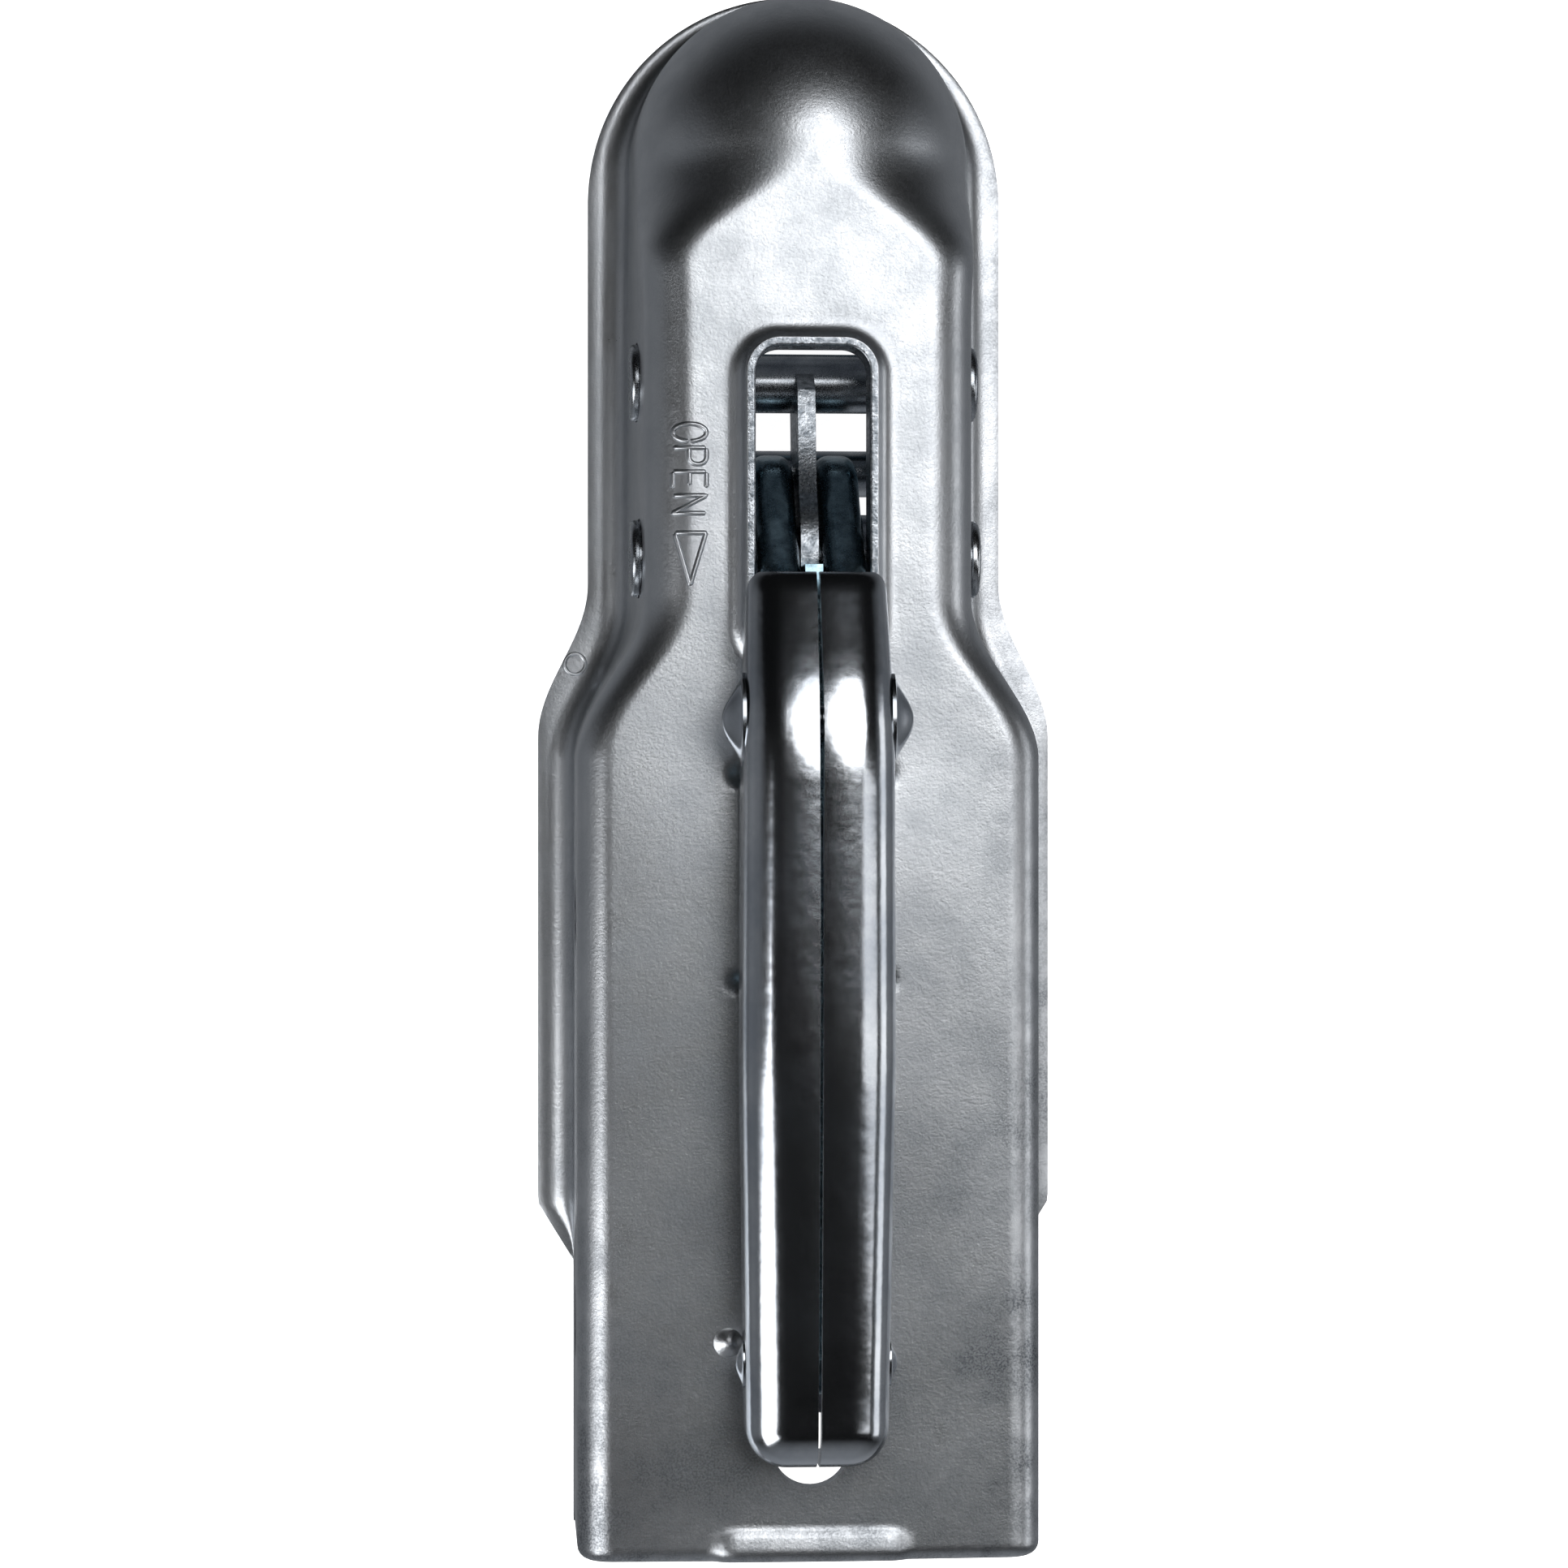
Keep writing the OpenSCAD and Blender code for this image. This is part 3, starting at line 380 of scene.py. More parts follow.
def flange_edge(y):
    """Half width of the flange: an arc beside the nose, even along the neck, wider behind it, then cut."""
    nose = np.sqrt(NOSE_FLANGE_R ** 2 - np.clip(y + NOSE_FLANGE_BACK, 0, None) ** 2)
    wide = ease((FLANGE_SHOULDER_Y - y) / SHOULDER_RUN) * (REAR_HALF - NECK_FOOT_HALF)
    slant = FLANGE_REACH * np.clip((FLANGE_END_Y - y) / FLANGE_SLANT, 0, 1)
    return nose + wide - slant


print("The flange reaches", round(float(flange_edge(-50.0)), 1), "mm out beside the neck")

# %% [markdown]
# ## Beads, pad and rolled rear edge
# Two short beads are pressed across the top under the handle, and a low pad stands at the rear edge. They are
# heights added to the flat top: the distance from a capsule or a round-cornered box, run through the soft
# step. A displacement map would do the same with a picture; a formula stays sharp at any distance.

# %% Relief of the top
BEAD_Y, BEAD_HALF, BEAD_R, BEAD_DEPTH = (-104.5, -138.6), 14.0, 2.8, 1.3
PAD_HALF, PAD_LONG, PAD_H, PAD_CORNER, PAD_EDGE, PAD_LEVEL, PAD_CLIMB = 15.0, 5.2, 1.15, 2.0, 1.6, 0.4, 0.75
CROWN_H, CROWN_Y, CROWN_RUN, ROLL_R = 0.6, -94.0, 30.0, 2.2


def top_relief(x, y):
    """Height added to the flat top: a crown across the box, less the two beads, plus the pad's wedge."""
    height = 0.0
    for bead_y in BEAD_Y:
        away = np.hypot(np.clip(np.abs(x) - (BEAD_HALF - BEAD_R), 0, None), y - bead_y)
        height = height - BEAD_DEPTH * ease((BEAD_R - away) / BEAD_R)
    over_x = np.abs(x) - (PAD_HALF - PAD_CORNER)
    over_y = y - (REAR_Y + PAD_LONG - PAD_CORNER)
    away = np.hypot(np.clip(over_x, 0, None), np.clip(over_y, 0, None)) - PAD_CORNER
    crown = CROWN_H * ease((CROWN_Y - y) / CROWN_RUN) * np.clip(1 - (x / (REAR_HALF - REAR_BEND)) ** 2, 0, 1)
    climb = PAD_LEVEL + PAD_CLIMB * np.clip((REAR_Y + PAD_LONG - y) / PAD_LONG, 0, 1)
    return height + crown + PAD_H * climb * ease(0.5 - away / PAD_EDGE)


print("The crown of the box rises", round(float(top_relief(np.array(0.0), np.array(-170.0))), 2), "mm")

# %% [markdown]
# ## Rows along the body
# The rows lie close together where the shape changes fast: over the rolled rear edge, across the two beads
# and round the handle's slot. Even steps would need twice as many faces to show the same edges.


# %% Rows along the body
def rows_between(*stops):
    """Values from the first stop to the last. The number before each later stop is the step used up to it."""
    values = [np.array([stops[0]])]
    for step, end in zip(stops[1::2], stops[2::2]):
        start = values[-1][-1]
        count = max(1, round(abs(end - start) / step))
        values.append(np.linspace(start, end, count + 1)[1:])
    return np.concatenate(values)


roll = np.linspace(0, np.pi / 2, 6)[:-1]
rear_rows = REAR_Y + ROLL_R * (1 - np.cos(roll))
body_rows = rows_between(REAR_Y + ROLL_R, 0.6, -228, 1.4, -143, 0.55, -134, 1.4, -109, 0.55, -100,
                         1.1, -26.5, 1.4, 0)
row_y = np.concatenate([rear_rows, body_rows])
row_inset = np.concatenate([ROLL_R * (1 - np.sin(roll)), 0 * body_rows])
print("Rows along the body:", len(row_y), "columns round half the section:", HALF_N)


# %% [markdown]
# ## Straight part and nose
# The full section at each row makes the straight part. The nose takes the section at the ball's centre and
# turns it through half a circle. Windows are left in the grid for the slot and the holes and are filled in
# the next step.

# %% Grids of the outer and inner skin
def full_skin(y, inset):
    """The whole section at each row, from the left flange edge over the ridge to the right one."""
    x, z = half_section(y, inset, flange_edge(y))
    x = np.concatenate([-x[:, :0:-1], x], axis=1)
    z = np.concatenate([z[:, :0:-1], z], axis=1)
    y = np.broadcast_to(np.atleast_1d(y)[:, None], x.shape)
    on_top = (z > TOP_Z - SHEET - 0.01) & (np.abs(x) < half_top(y) - bend_radius(y) + 0.01)
    return np.stack([x, y, z + np.where(on_top, top_relief(x, y), 0)], axis=-1)


def nose_skin(inset, turns):
    """The section at y = 0 turned about Z: X is the distance times the turn's cosine, Y times its sine."""
    edge = NOSE_FLANGE_R ** 2 - (NOSE_FLANGE_BACK * np.cos(turns)) ** 2
    edge = np.sqrt(edge) - NOSE_FLANGE_BACK * np.sin(turns)
    out, z = half_section(0 * turns, inset + 0 * turns, edge)
    return np.stack([out * np.cos(turns)[:, None], out * np.sin(turns)[:, None], z], axis=-1)


outer = full_skin(row_y, row_inset)
inner = full_skin(row_y, SHEET + 0 * row_y)
nose_turns = np.linspace(0, np.pi, 65)
nose_ring = np.concatenate([nose_skin(0, nose_turns), nose_skin(SHEET, nose_turns)[:, ::-1]], axis=1)
rear_face = np.stack([outer[0], inner[0]])
flange_faces = [np.stack([outer[:, k], inner[:, k]]) for k in (0, -1)]
print("Widest point:", round(float(outer[..., 0].max()), 2), "mm from the middle")


# %% [markdown]
# ## Windows for the slot and the holes
# A hole is cut as a window: a block of faces is left out, and a sleeve of rings leads from the edge of the
# window to the true outline of the hole, through the sheet, and back to the same window of the inner skin.
# The sleeve reuses the window's own points, so the wall stays closed. A Boolean modifier would cut the hole
# too, but it leaves long thin faces round it, and they show as streaks on curved metal.

# %% Windows
SLOT_HALF, SLOT_LONG, SLOT_Y, SLOT_R = 9.4, 25.0, -59.0, 4.2
LIP_H, LIP_T, LIP_ROUND, LIP_BEND, CUT_ROUND = 4.3, 1.6, 0.3, 2.9, 0.35
windows = np.ones((outer.shape[0] - 1, outer.shape[1] - 1), dtype=bool)
ridge = HALF_N - 1


def block(y0, y1, c0, c1):
    """Cuts the faces between two places along the body and two columns, and returns the rows and columns."""
    i0, i1 = int(np.searchsorted(row_y, y0)), int(np.searchsorted(row_y, y1))
    windows[i0:i1, c0:c1] = False
    return i0, i1, c0, c1


def loop(skin, i0, i1, c0, c1):
    """The points round a window of a skin, in order."""
    return np.concatenate([skin[i0, c0:c1], skin[i0:i1, c1], skin[i1, c1:c0:-1], skin[i1:i0:-1, c0]])


# %% [markdown]
# ## The raised lip of the slot
# The press pierces the slot and turns its edge up, so the sheet bends through a quarter circle, stands up and
# ends in a sheared rim. The lip is a list of pairs: how far a ring lies outside the slot's outline, and how
# high above the top. Each pair makes one ring of the sleeve, which is easier to shape than moving points by
# hand.


# %% The slot's sleeve
def slot_level(points, away, z):
    """Each point moved to its nearest place on the slot's outline, then outwards by away, at height z."""
    core = np.array([SLOT_HALF - SLOT_R, SLOT_LONG - SLOT_R])
    flat = points[:, :2] - [0, SLOT_Y]
    middle = np.clip(flat, -core, core)
    out = flat - middle
    out = out / np.linalg.norm(out, axis=1, keepdims=True)
    place = middle + out * (SLOT_R + away) + [0, SLOT_Y]
    return np.column_stack([place, np.full(len(place), z)])


slot_block = block(-91.5, -26.8, ridge - 20, ridge + 20)
slot_outer, slot_inner = loop(outer, *slot_block), loop(inner, *slot_block)
lip = [(LIP_T + LIP_BEND * (1 - math.sin(a)), LIP_BEND * (1 - math.cos(a)))
       for a in np.linspace(0, math.pi / 2, 7)]
lip += [(LIP_T, mix(LIP_BEND, LIP_H - LIP_ROUND, t)) for t in (0.5, 1)]
lip += [(LIP_T - LIP_ROUND * (1 - math.cos(a)), LIP_H - LIP_ROUND * (1 - math.sin(a)))
        for a in np.linspace(0.2, math.pi / 2, 7)]
lip += [(0.9, LIP_H), (0.5, LIP_H)]
lip += [(CUT_ROUND * (1 - math.sin(a)), LIP_H - CUT_ROUND * (1 - math.cos(a)))
        for a in np.linspace(0, math.pi / 2, 5)]
lip += [(0, mix(LIP_H - CUT_ROUND, -SHEET, t)) for t in (0.25, 0.5, 0.75, 1)]
foot = slot_level(slot_outer, LIP_T + LIP_BEND, TOP_Z)
inner_foot = slot_level(slot_inner, 0, TOP_Z - SHEET)
rings = [mix(slot_outer, foot, t) for t in (0, 0.35, 0.7)]
rings += [slot_level(slot_outer, away, TOP_Z + height) for away, height in lip]
rings += [mix(slot_inner, inner_foot, t) for t in (0.6, 0.3, 0)]
sleeves = [np.stack(rings)]
print("Slot window:", slot_block, "rings in its sleeve:", len(rings))

# %% [markdown]
# ## Round holes
# The bolt holes go straight through, and the holes of the two pins have a shallow seat for the pin's head.
# Here too every ring is the window's own loop, moved to a radius and then sunk along the hole's axis.


# %% Sleeves of the round holes
def round_sleeve(window, centre, axis, radii):
    """A sleeve for a round hole whose axis is 'x' or 'z'. radii lists pairs of radius and depth."""
    outside, inside = loop(outer, *window), loop(inner, *window)
    pair = (1, 2) if axis == "x" else (0, 1)

    def level(points, radius):
        flat = points[:, pair] - np.array(centre)
        flat = flat / np.linalg.norm(flat, axis=1, keepdims=True)
        ring = points.copy()
        ring[:, pair] = np.array(centre) + flat * radius
        if axis == "x":
            ring[:, 0] = np.sign(points[:, 0]) * wall_at(ring[:, 1], ring[:, 2])
        else:
            ring[:, 2] = TOP_Z + top_relief(ring[:, 0], ring[:, 1])
        return ring

    def sink(ring, depth):
        moved = ring.copy()
        if axis == "x":
            moved[:, 0] = np.sign(ring[:, 0]) * (np.abs(ring[:, 0]) - depth)
        else:
            moved[:, 2] -= depth
        return moved

    first = level(outside, radii[0][0])
    levels = [mix(outside, first, t) for t in (0, 0.5)]
    levels += [sink(level(outside, radius), depth) for radius, depth in radii]
    last = sink(level(inside, radii[-1][0]), SHEET)
    levels += [last, mix(inside, last, 0.5), inside]
    return np.stack(levels)


# %% Holes in the top and the walls
BOLT_R, BOLT_Y, CROSS_Y, CROSS_Z = 6.25, -215.8, (-197.5, -127.5), 4.0
# The place of each pin's axis in Y and Z, and its radius.
PINS = {"front_pin": (-38.0, 8.0, 5.0), "pivot_pin": (-68.0, 12.0, 5.5)}
PIN_Y, PIN_Z, PIN_R = PINS["front_pin"]
PIVOT_Y, PIVOT_Z, PIVOT_R = PINS["pivot_pin"]
HEAD_R, HEAD_T, HEAD_PLAY, SEAT_DEPTH, RUN_PLAY = 6.5, 1.5, 0.25, 0.35, 0.08
WINDOW_COLS = 7


def wall_window(side, y, reach, first):
    """A window in the wall of one side, as long as twice reach, from column first below the bend."""
    columns = [ridge + side * (TOP_N + BEND_N + first + more) for more in (0, WINDOW_COLS)]
    return block(y - reach, y + reach, *sorted(columns))


bolt_window = block(BOLT_Y - 9, BOLT_Y + 9, ridge - 7, ridge + 7)
sleeves.append(round_sleeve(bolt_window, (0, BOLT_Y), "z", [(BOLT_R, 0)]))
for side in (-1, 1):
    for y in CROSS_Y:
        sleeves.append(round_sleeve(wall_window(side, y, 8.5, 4), (y, CROSS_Z), "x", [(BOLT_R, 0)]))
    for y, z, r in PINS.values():
        steps = [(HEAD_R + HEAD_PLAY, 0), (HEAD_R + HEAD_PLAY, SEAT_DEPTH), (r + RUN_PLAY, SEAT_DEPTH)]
        sleeves.append(round_sleeve(wall_window(side, y, 8.6, 1 if z > 10 else 3), (y, z), "x", steps))
print("Sleeves:", len(sleeves))

# %% [markdown]
# ## One closed head
# All grids now share their edges, so joining them gives one wall with no opening. The faces round the slot
# get the finish of sheared steel, because there the blade tore the sheet and the plating shows its lines.

# %% The head as one closed piece
head = piece(
    "pressed_head",
    join(grid(outer, keep=windows), grid(inner, keep=windows), grid(rear_face), grid(nose_ring),
         *[grid(face) for face in flange_faces], *[grid(sleeve, closed=True) for sleeve in sleeves]),
    "housing", drawn_zinc, replaces=["housing"], edge=0.3)
head.data.materials.append(sheared_zinc)
centres = np.empty(len(head.data.polygons) * 3)
head.data.polygons.foreach_get("center", centres)
centres = centres.reshape(-1, 3) / MM
past_core = np.clip(np.abs(centres[:, :2] - [0, SLOT_Y]) - [SLOT_HALF - SLOT_R, SLOT_LONG - SLOT_R], 0, None)
sheared = (np.hypot(*past_core.T) < SLOT_R + LIP_T - LIP_ROUND) & (centres[:, 2] > TOP_Z - SHEET)
head.data.polygons.foreach_set("material_index", sheared.astype(np.int32))
print("Sheared faces round the slot:", int(sheared.sum()))

# %% [markdown]
# ## Turned parts
# Pins, bushes, rivets and the clamp bar are round about an axis along X. Each is a profile of (along, radius)
# pairs, spun in one array operation: the radius times sine and cosine for every angle at once. A Screw
# modifier spins a profile too, but here the bore, the chamfers and the heads come from the same few numbers.
# The pins are riveted: each end is a flat head with a shallow dimple from the riveting tool, seated in its
# recess in the wall.


# %% Turned parts
def turned(profile, y, z, sides=64):
    """Spins a profile of (x, radius) pairs about the axis through (y, z) along X."""
    profile = np.asarray(profile, dtype=float)
    angle = np.linspace(0, 2 * np.pi, sides, endpoint=False)
    x, r = np.broadcast_to(profile[:, :1], (len(profile), sides)), profile[:, 1:]
    return grid(np.stack([x, y + r * np.cos(angle), z + r * np.sin(angle)], axis=-1), closed=True)


def arc(cx, cy, r, a0, a1, n):
    """n + 1 points on an arc about (cx, cy) between two angles in degrees."""
    a = np.radians(np.linspace(a0, a1, n + 1))
    return np.column_stack([cx + r * np.cos(a), cy + r * np.sin(a)])


def mirrored_profile(half):
    """A profile given from the middle outwards, completed with its mirror image on the other side."""
    half = np.asarray(half, dtype=float)
    return np.concatenate([half[::-1] * [-1, 1], half])


def tube(x0, x1, bore, outside, chamfer):
    """Profile of a tube from x0 to x1 with chamfered outer edges, closed back to its first point."""
    c = math.copysign(chamfer, x1 - x0)
    return [[x0, bore], [x0, outside - chamfer], [x0 + c, outside], [x1 - c, outside],
            [x1, outside - chamfer], [x1, bore], [x0, bore]]


# %% The two pins
HEAD_EDGE, FRONT_SUNK, DIMPLE_R, DIMPLE_FLOOR_R, DIMPLE_DEPTH = 0.9, 0.3, 3.2, 2.4, 0.35
for name, (y, z, r) in PINS.items():
    seat = wall_at(y, z) - (FRONT_SUNK if name == "front_pin" else 0)
    half = np.concatenate([
        [[0, r], [seat, r], [seat, HEAD_R - 0.15], [seat + 0.15, HEAD_R]],
        arc(seat + HEAD_T - HEAD_EDGE, HEAD_R - HEAD_EDGE, HEAD_EDGE, 90, 0, 6),
        [[seat + HEAD_T, DIMPLE_R], [seat + HEAD_T - DIMPLE_DEPTH, DIMPLE_FLOOR_R],
         [seat + HEAD_T - DIMPLE_DEPTH - 0.05, 0]]])
    piece(name + "_turned", turned(mirrored_profile(half), y, z), "housing", turned_zinc, [name])

# %% Bushes and clamp bar
CAM_IN, CAM_OUT, SIDE_PLAY, BUSH_R = 2.0, 8.9, 0.3, 7.5
PIVOT_BORE, PIN_BORE = PIVOT_R + RUN_PLAY, PIN_R + RUN_PLAY
bush_end = wall_at(PIVOT_Y, PIVOT_Z + BUSH_R) - SHEET - SIDE_PLAY
for side, word in ((-1, "left"), (1, "right")):
    profile = tube(side * (CAM_OUT + SIDE_PLAY), side * bush_end, PIVOT_BORE, BUSH_R, 0.3)
    piece("bush_" + word, turned(profile, PIVOT_Y, PIVOT_Z), "housing", turned_zinc, ["pivot_bush_" + word])

BAR_Y, BAR_Z, BAR_R, ARM_OUT, ARM_T = -52.0, -10.0, 4.0, 17.5, 4.5
bar_end = ARM_OUT + 2
bar_half = [[0, BAR_R], [bar_end - 0.6, BAR_R], [bar_end, BAR_R - 0.6], [bar_end, 0]]
bar = turned(mirrored_profile(bar_half), BAR_Y, BAR_Z)
piece("clamp_bar_turned", bar, "clamp", turned_zinc, ["clamp_bar"])

# %% [markdown]
# ## The handle
# The real handle is two half shells of folded sheet, riveted together with a seam down the middle. In plan
# each half is a straight side with a round rear corner. Along that path a profile climbs the wall, turns over
# a round edge and runs flat to the seam. The flat top ends where the rear corner begins, so that the corner
# closes like a fan.

# %% Sizes of the handle
SHELL, H_ROUND, H_LOW = 2.4, 6.5, 36.0
H_FRONT, H_CORNER, H_END = -71.7, -210.0, -216.5
H_SWEEP, H_SWEEP_RUN, H_TAIL, H_TAIL_RUN = 6.5, 30.0, 3.0, 14.0
STATION_Y = np.array([H_CORNER, -151.34, -100.0, -93.0, -88.5, -59.7])
STATION_HALF = np.array([11.6, 12.4, 12.19, 12.0, 11.88, 11.1])
STATION_TOP = np.array([49.0, 53.0, 53.85, 52.9, 51.6, 40.8])
BROW_RUN, BROW_DROP, ROOF_SWELL, SWELL_RUN = 3.6, 1.2, 0.12, 12.0
SEAM, SEAM_MORE, SEAM_MORE_Y, SEAM_MORE_RUN = 0.25, 0.12, -97.0, 14.0
BOSS_Y, BOSS_Z, EYE_Y, EYE_Z = -95.6, 44.0, -200.0, 41.0


def softened(y, values):
    """The value between the stations at y, averaged over 5 mm each way so that the handle has no kinks."""
    near = np.linspace(-5, 5, 11)
    return np.mean([np.interp(y + d, STATION_Y, values) for d in near], axis=0)


def handle_top(y):
    """Height of the roof: the stations, with the last bit at the open front rolled down like a brow."""
    into = np.clip((y - (H_FRONT - BROW_RUN)) / BROW_RUN, 0, 1)
    return softened(y, STATION_TOP) - BROW_DROP * (1 - np.sqrt(1 - 0.96 * into ** 2))


def handle_low(y):
    """Height of the lower edge: it sweeps up at the open front and rises a little at the rear end."""
    front = H_SWEEP * np.clip(1 - (H_FRONT - y) / H_SWEEP_RUN, 0, 1) ** 3
    rear = H_TAIL * np.clip(1 - (y - H_END) / H_TAIL_RUN, 0, 1) ** 2
    return H_LOW + front + rear


def seam_at(y):
    """Half of the gap at the seam: wider over the front rivet, by a bell curve of the distance to it."""
    return SEAM + SEAM_MORE * np.exp(-((y - SEAM_MORE_Y) / SEAM_MORE_RUN) ** 2) + 0 * y


print("The roof of the handle starts", round(float(handle_top(H_FRONT)), 1), "mm above the ball's centre")

# %% [markdown]
# ## Two half shells
# A shell is worked out at two insets, 0 for the outside and the thickness of the sheet for the inside. Strips
# between the two close the cut edges. The left half is the right one mirrored, and its faces are turned
# outwards afterwards.

# %% Section of a shell
LOW_N, ROUND_N, FLAT_N, CORNER_N = 10, 10, 12, 12


def shell_columns(inset, top, low, spine, out):
    """Wall and round edge of one shell, from the lower edge up and then over to the spine.

    spine is a path in plan and out the outward direction at each of its points. The wall stands one radius
    away from it. Where the lower edge is above the wall, as at the open front, the round edge starts there.
    """
    r = H_ROUND - inset
    start = np.arcsin(np.clip((low - top + H_ROUND) / H_ROUND, 0, 0.97))[:, None]
    up = np.linspace(0, 1, LOW_N + 1)[None, :]
    turn = start + (np.pi / 2 - start) * np.linspace(0, 1, ROUND_N + 1)[None, 1:]
    wall_end = (top - H_ROUND)[:, None] + r * np.sin(start)
    wall_z = mix(np.minimum(low[:, None], wall_end), wall_end, up)
    away = np.concatenate([r * np.cos(start) + 0 * wall_z, r * np.cos(turn) + 0 * top[:, None]], axis=1)
    z = np.concatenate([wall_z, (top - H_ROUND)[:, None] + r * np.sin(turn)], axis=1)
    plan = spine[:, None, :] + away[..., None] * out[:, None, :]
    return np.concatenate([plan, z[..., None]], axis=-1)


# %% Straight side and rear end of a shell
def side_skin(inset, y):
    """Wall, round edge and half of the roof along the straight part, with one row for each y."""
    top = handle_top(y)
    spine = np.column_stack([softened(y, STATION_HALF) - H_ROUND, y])
    wall = shell_columns(inset, top, handle_low(y), spine, np.broadcast_to([1.0, 0.0], spine.shape))
    flat = np.linspace(0, 1, FLAT_N + 1)[None, 1:]
    flat_x = mix(spine[:, :1], seam_at(y)[:, None], flat)
    swell = ROOF_SWELL * np.clip((y[:, None] - H_CORNER) / SWELL_RUN, 0, 1) * (1 - (2 * flat - 1) ** 2)
    roof = np.stack([flat_x, y[:, None] + 0 * flat_x, (top - inset)[:, None] + swell], axis=-1)
    return np.concatenate([wall, roof], axis=1)


def end_skin(inset):
    """Round corner and rear wall: the direction turns about the corner, then the spine runs to the seam."""
    turn = np.linspace(0, np.pi / 2, CORNER_N + 1)
    share = np.linspace(0, 1, FLAT_N + 1)[1:]
    corner_x = softened(H_CORNER, STATION_HALF) - H_ROUND
    spine_x = np.concatenate([corner_x + 0 * turn, mix(corner_x, seam_at(H_CORNER), share)])
    spine = np.column_stack([spine_x, np.full(len(spine_x), H_CORNER)])
    wall_x = mix(corner_x, seam_at(H_END), share)
    out = np.concatenate([np.column_stack([np.cos(turn), -np.sin(turn)]),
                          np.column_stack([(wall_x - spine_x[-FLAT_N:]) / H_ROUND, -1 + 0 * share])])
    top = np.full(len(spine), handle_top(H_CORNER))
    return shell_columns(inset, top, handle_low(H_CORNER + H_ROUND * out[:, 1]), spine, out)


# %% Half shells
def half_shell():
    """The right half of the handle as a closed wall: two skins and the strips that close their cut edges."""
    y = rows_between(H_CORNER, 1.8, -112, 1.0, -77, 0.4, H_FRONT)[::-1]
    sides = [side_skin(inset, y) for inset in (0, SHELL)]
    ends = [end_skin(inset) for inset in (0, SHELL)]
    return join(grid(np.concatenate([sides[0], sides[1][:, ::-1]], axis=1), closed=True),
                grid(np.concatenate([ends[0][:, ::-1], ends[1]], axis=1)),
                grid(np.stack([sides[0][0], sides[1][0]])), grid(np.stack([ends[0][-1], ends[1][-1]])))


right_points, right_faces = half_shell()
left_points = right_points * [-1, 1, 1]
for word, points in (("left", left_points), ("right", right_points)):
    piece("handle_shell_" + word, (points, right_faces), "handle", handle_zinc, ["handle_" + word],
          edge=0.45, edge_steps=3)

# %% [markdown]
# ## Rivets of the handle
# The front rivet has a domed boss on each side and the rear one a small round head. Both are turned shapes,
# pressed a little flat, and they start half a millimetre inside the shell so that no gap shows. Two tubes on
# the rear rivet keep the release lever in the middle.

# %% Rivets and spacers
# The place of each rivet's axis in Y and Z, and the radius and height of its heads.
RIVETS = {"front_rivet": (BOSS_Y, BOSS_Z, 7.6, 3.3), "rear_rivet": (EYE_Y, EYE_Z, 3.75, 1.2)}
RIVET_R, SEAT_PLAY, BOSS_SINK, BOSS_FLAT = 2.5, 0.2, 0.5, 0.62
for name, (y, z, head_r, head_h) in RIVETS.items():
    seat = float(np.interp(y, STATION_Y, STATION_HALF)) + SEAT_PLAY
    out = np.linspace(1, 0, 19)
    dome = np.column_stack([seat + 0.1 + (head_h - 0.1) * ease(1 - out) ** 0.8, head_r * out])
    half = np.concatenate([[[0, RIVET_R], [seat - BOSS_SINK, RIVET_R], [seat - BOSS_SINK, head_r]], dome])
    boss_points, boss_faces = turned(mirrored_profile(half), y, z)
    outside = np.abs(boss_points[:, 0]) > seat - BOSS_SINK - 0.1
    boss_points[outside, 2] = z + BOSS_FLAT * (boss_points[outside, 2] - z)
    piece(name + "_domed", (boss_points, boss_faces), "handle", handle_zinc, [name])

SPACER_IN, SPACER_R = 1.8, 3.7
spacer_out = float(np.interp(EYE_Y, STATION_Y, STATION_HALF)) - SHELL - 0.6
for side, word in ((-1, "left"), (1, "right")):
    spacer = turned(tube(side * SPACER_IN, side * spacer_out, RIVET_R, SPACER_R, 0.2), EYE_Y, EYE_Z, 32)
    piece("spacer_" + word, spacer, "handle", turned_zinc, ["lever_spacer_" + word])

# %% [markdown]
# ## Stamped plates
# The cams, the catch plate, the clamp's arms and the lever are cut from thick plate. Each is an outline in
# the side view, pulled out along X. tessellate_polygon fills the two faces with triangles that leave the
# bores free, and a bevel rounds the edges as tumbling does on the real ones.


# %% Plates from outlines
def filled(loops, x):
    """A flat face at x as triangles: the first loop of (Y, Z) points is its edge and the others are holes."""
    flat = np.concatenate(loops)
    triangles = tessellate_polygon([[(y, z, 0.0) for y, z in ring] for ring in loops])
    return np.column_stack([np.full(len(flat), x), flat]), [tuple(t) for t in triangles]


def walled(ring, x0, x1):
    """The wall between a loop at x0 and the same loop at x1."""
    return grid(np.stack([np.column_stack([np.full(len(ring), x), ring]) for x in (x0, x1)]), closed=True)


def plate(outline, bores, x0, x1):
    """A plate between x0 and x1 from a side view outline of (Y, Z) points with round bores (y, z, radius)."""
    loops = [np.asarray(outline, dtype=float)] + [arc(y, z, r, 0, 360, 48)[:-1] for y, z, r in bores]
    return join(filled(loops, x0), filled(loops, x1), *[walled(ring, x0, x1) for ring in loops])


# %% Plates with round edges
def walked(line):
    """Distance from the start of a line to each of its points."""
    return np.concatenate([[0], np.cumsum(np.linalg.norm(np.diff(line, axis=0), axis=1))])


def places(line, at):
    """The points at the given distances along a line of flat points."""
    return np.column_stack([np.interp(at, walked(line), line[:, k]) for k in (0, 1)])


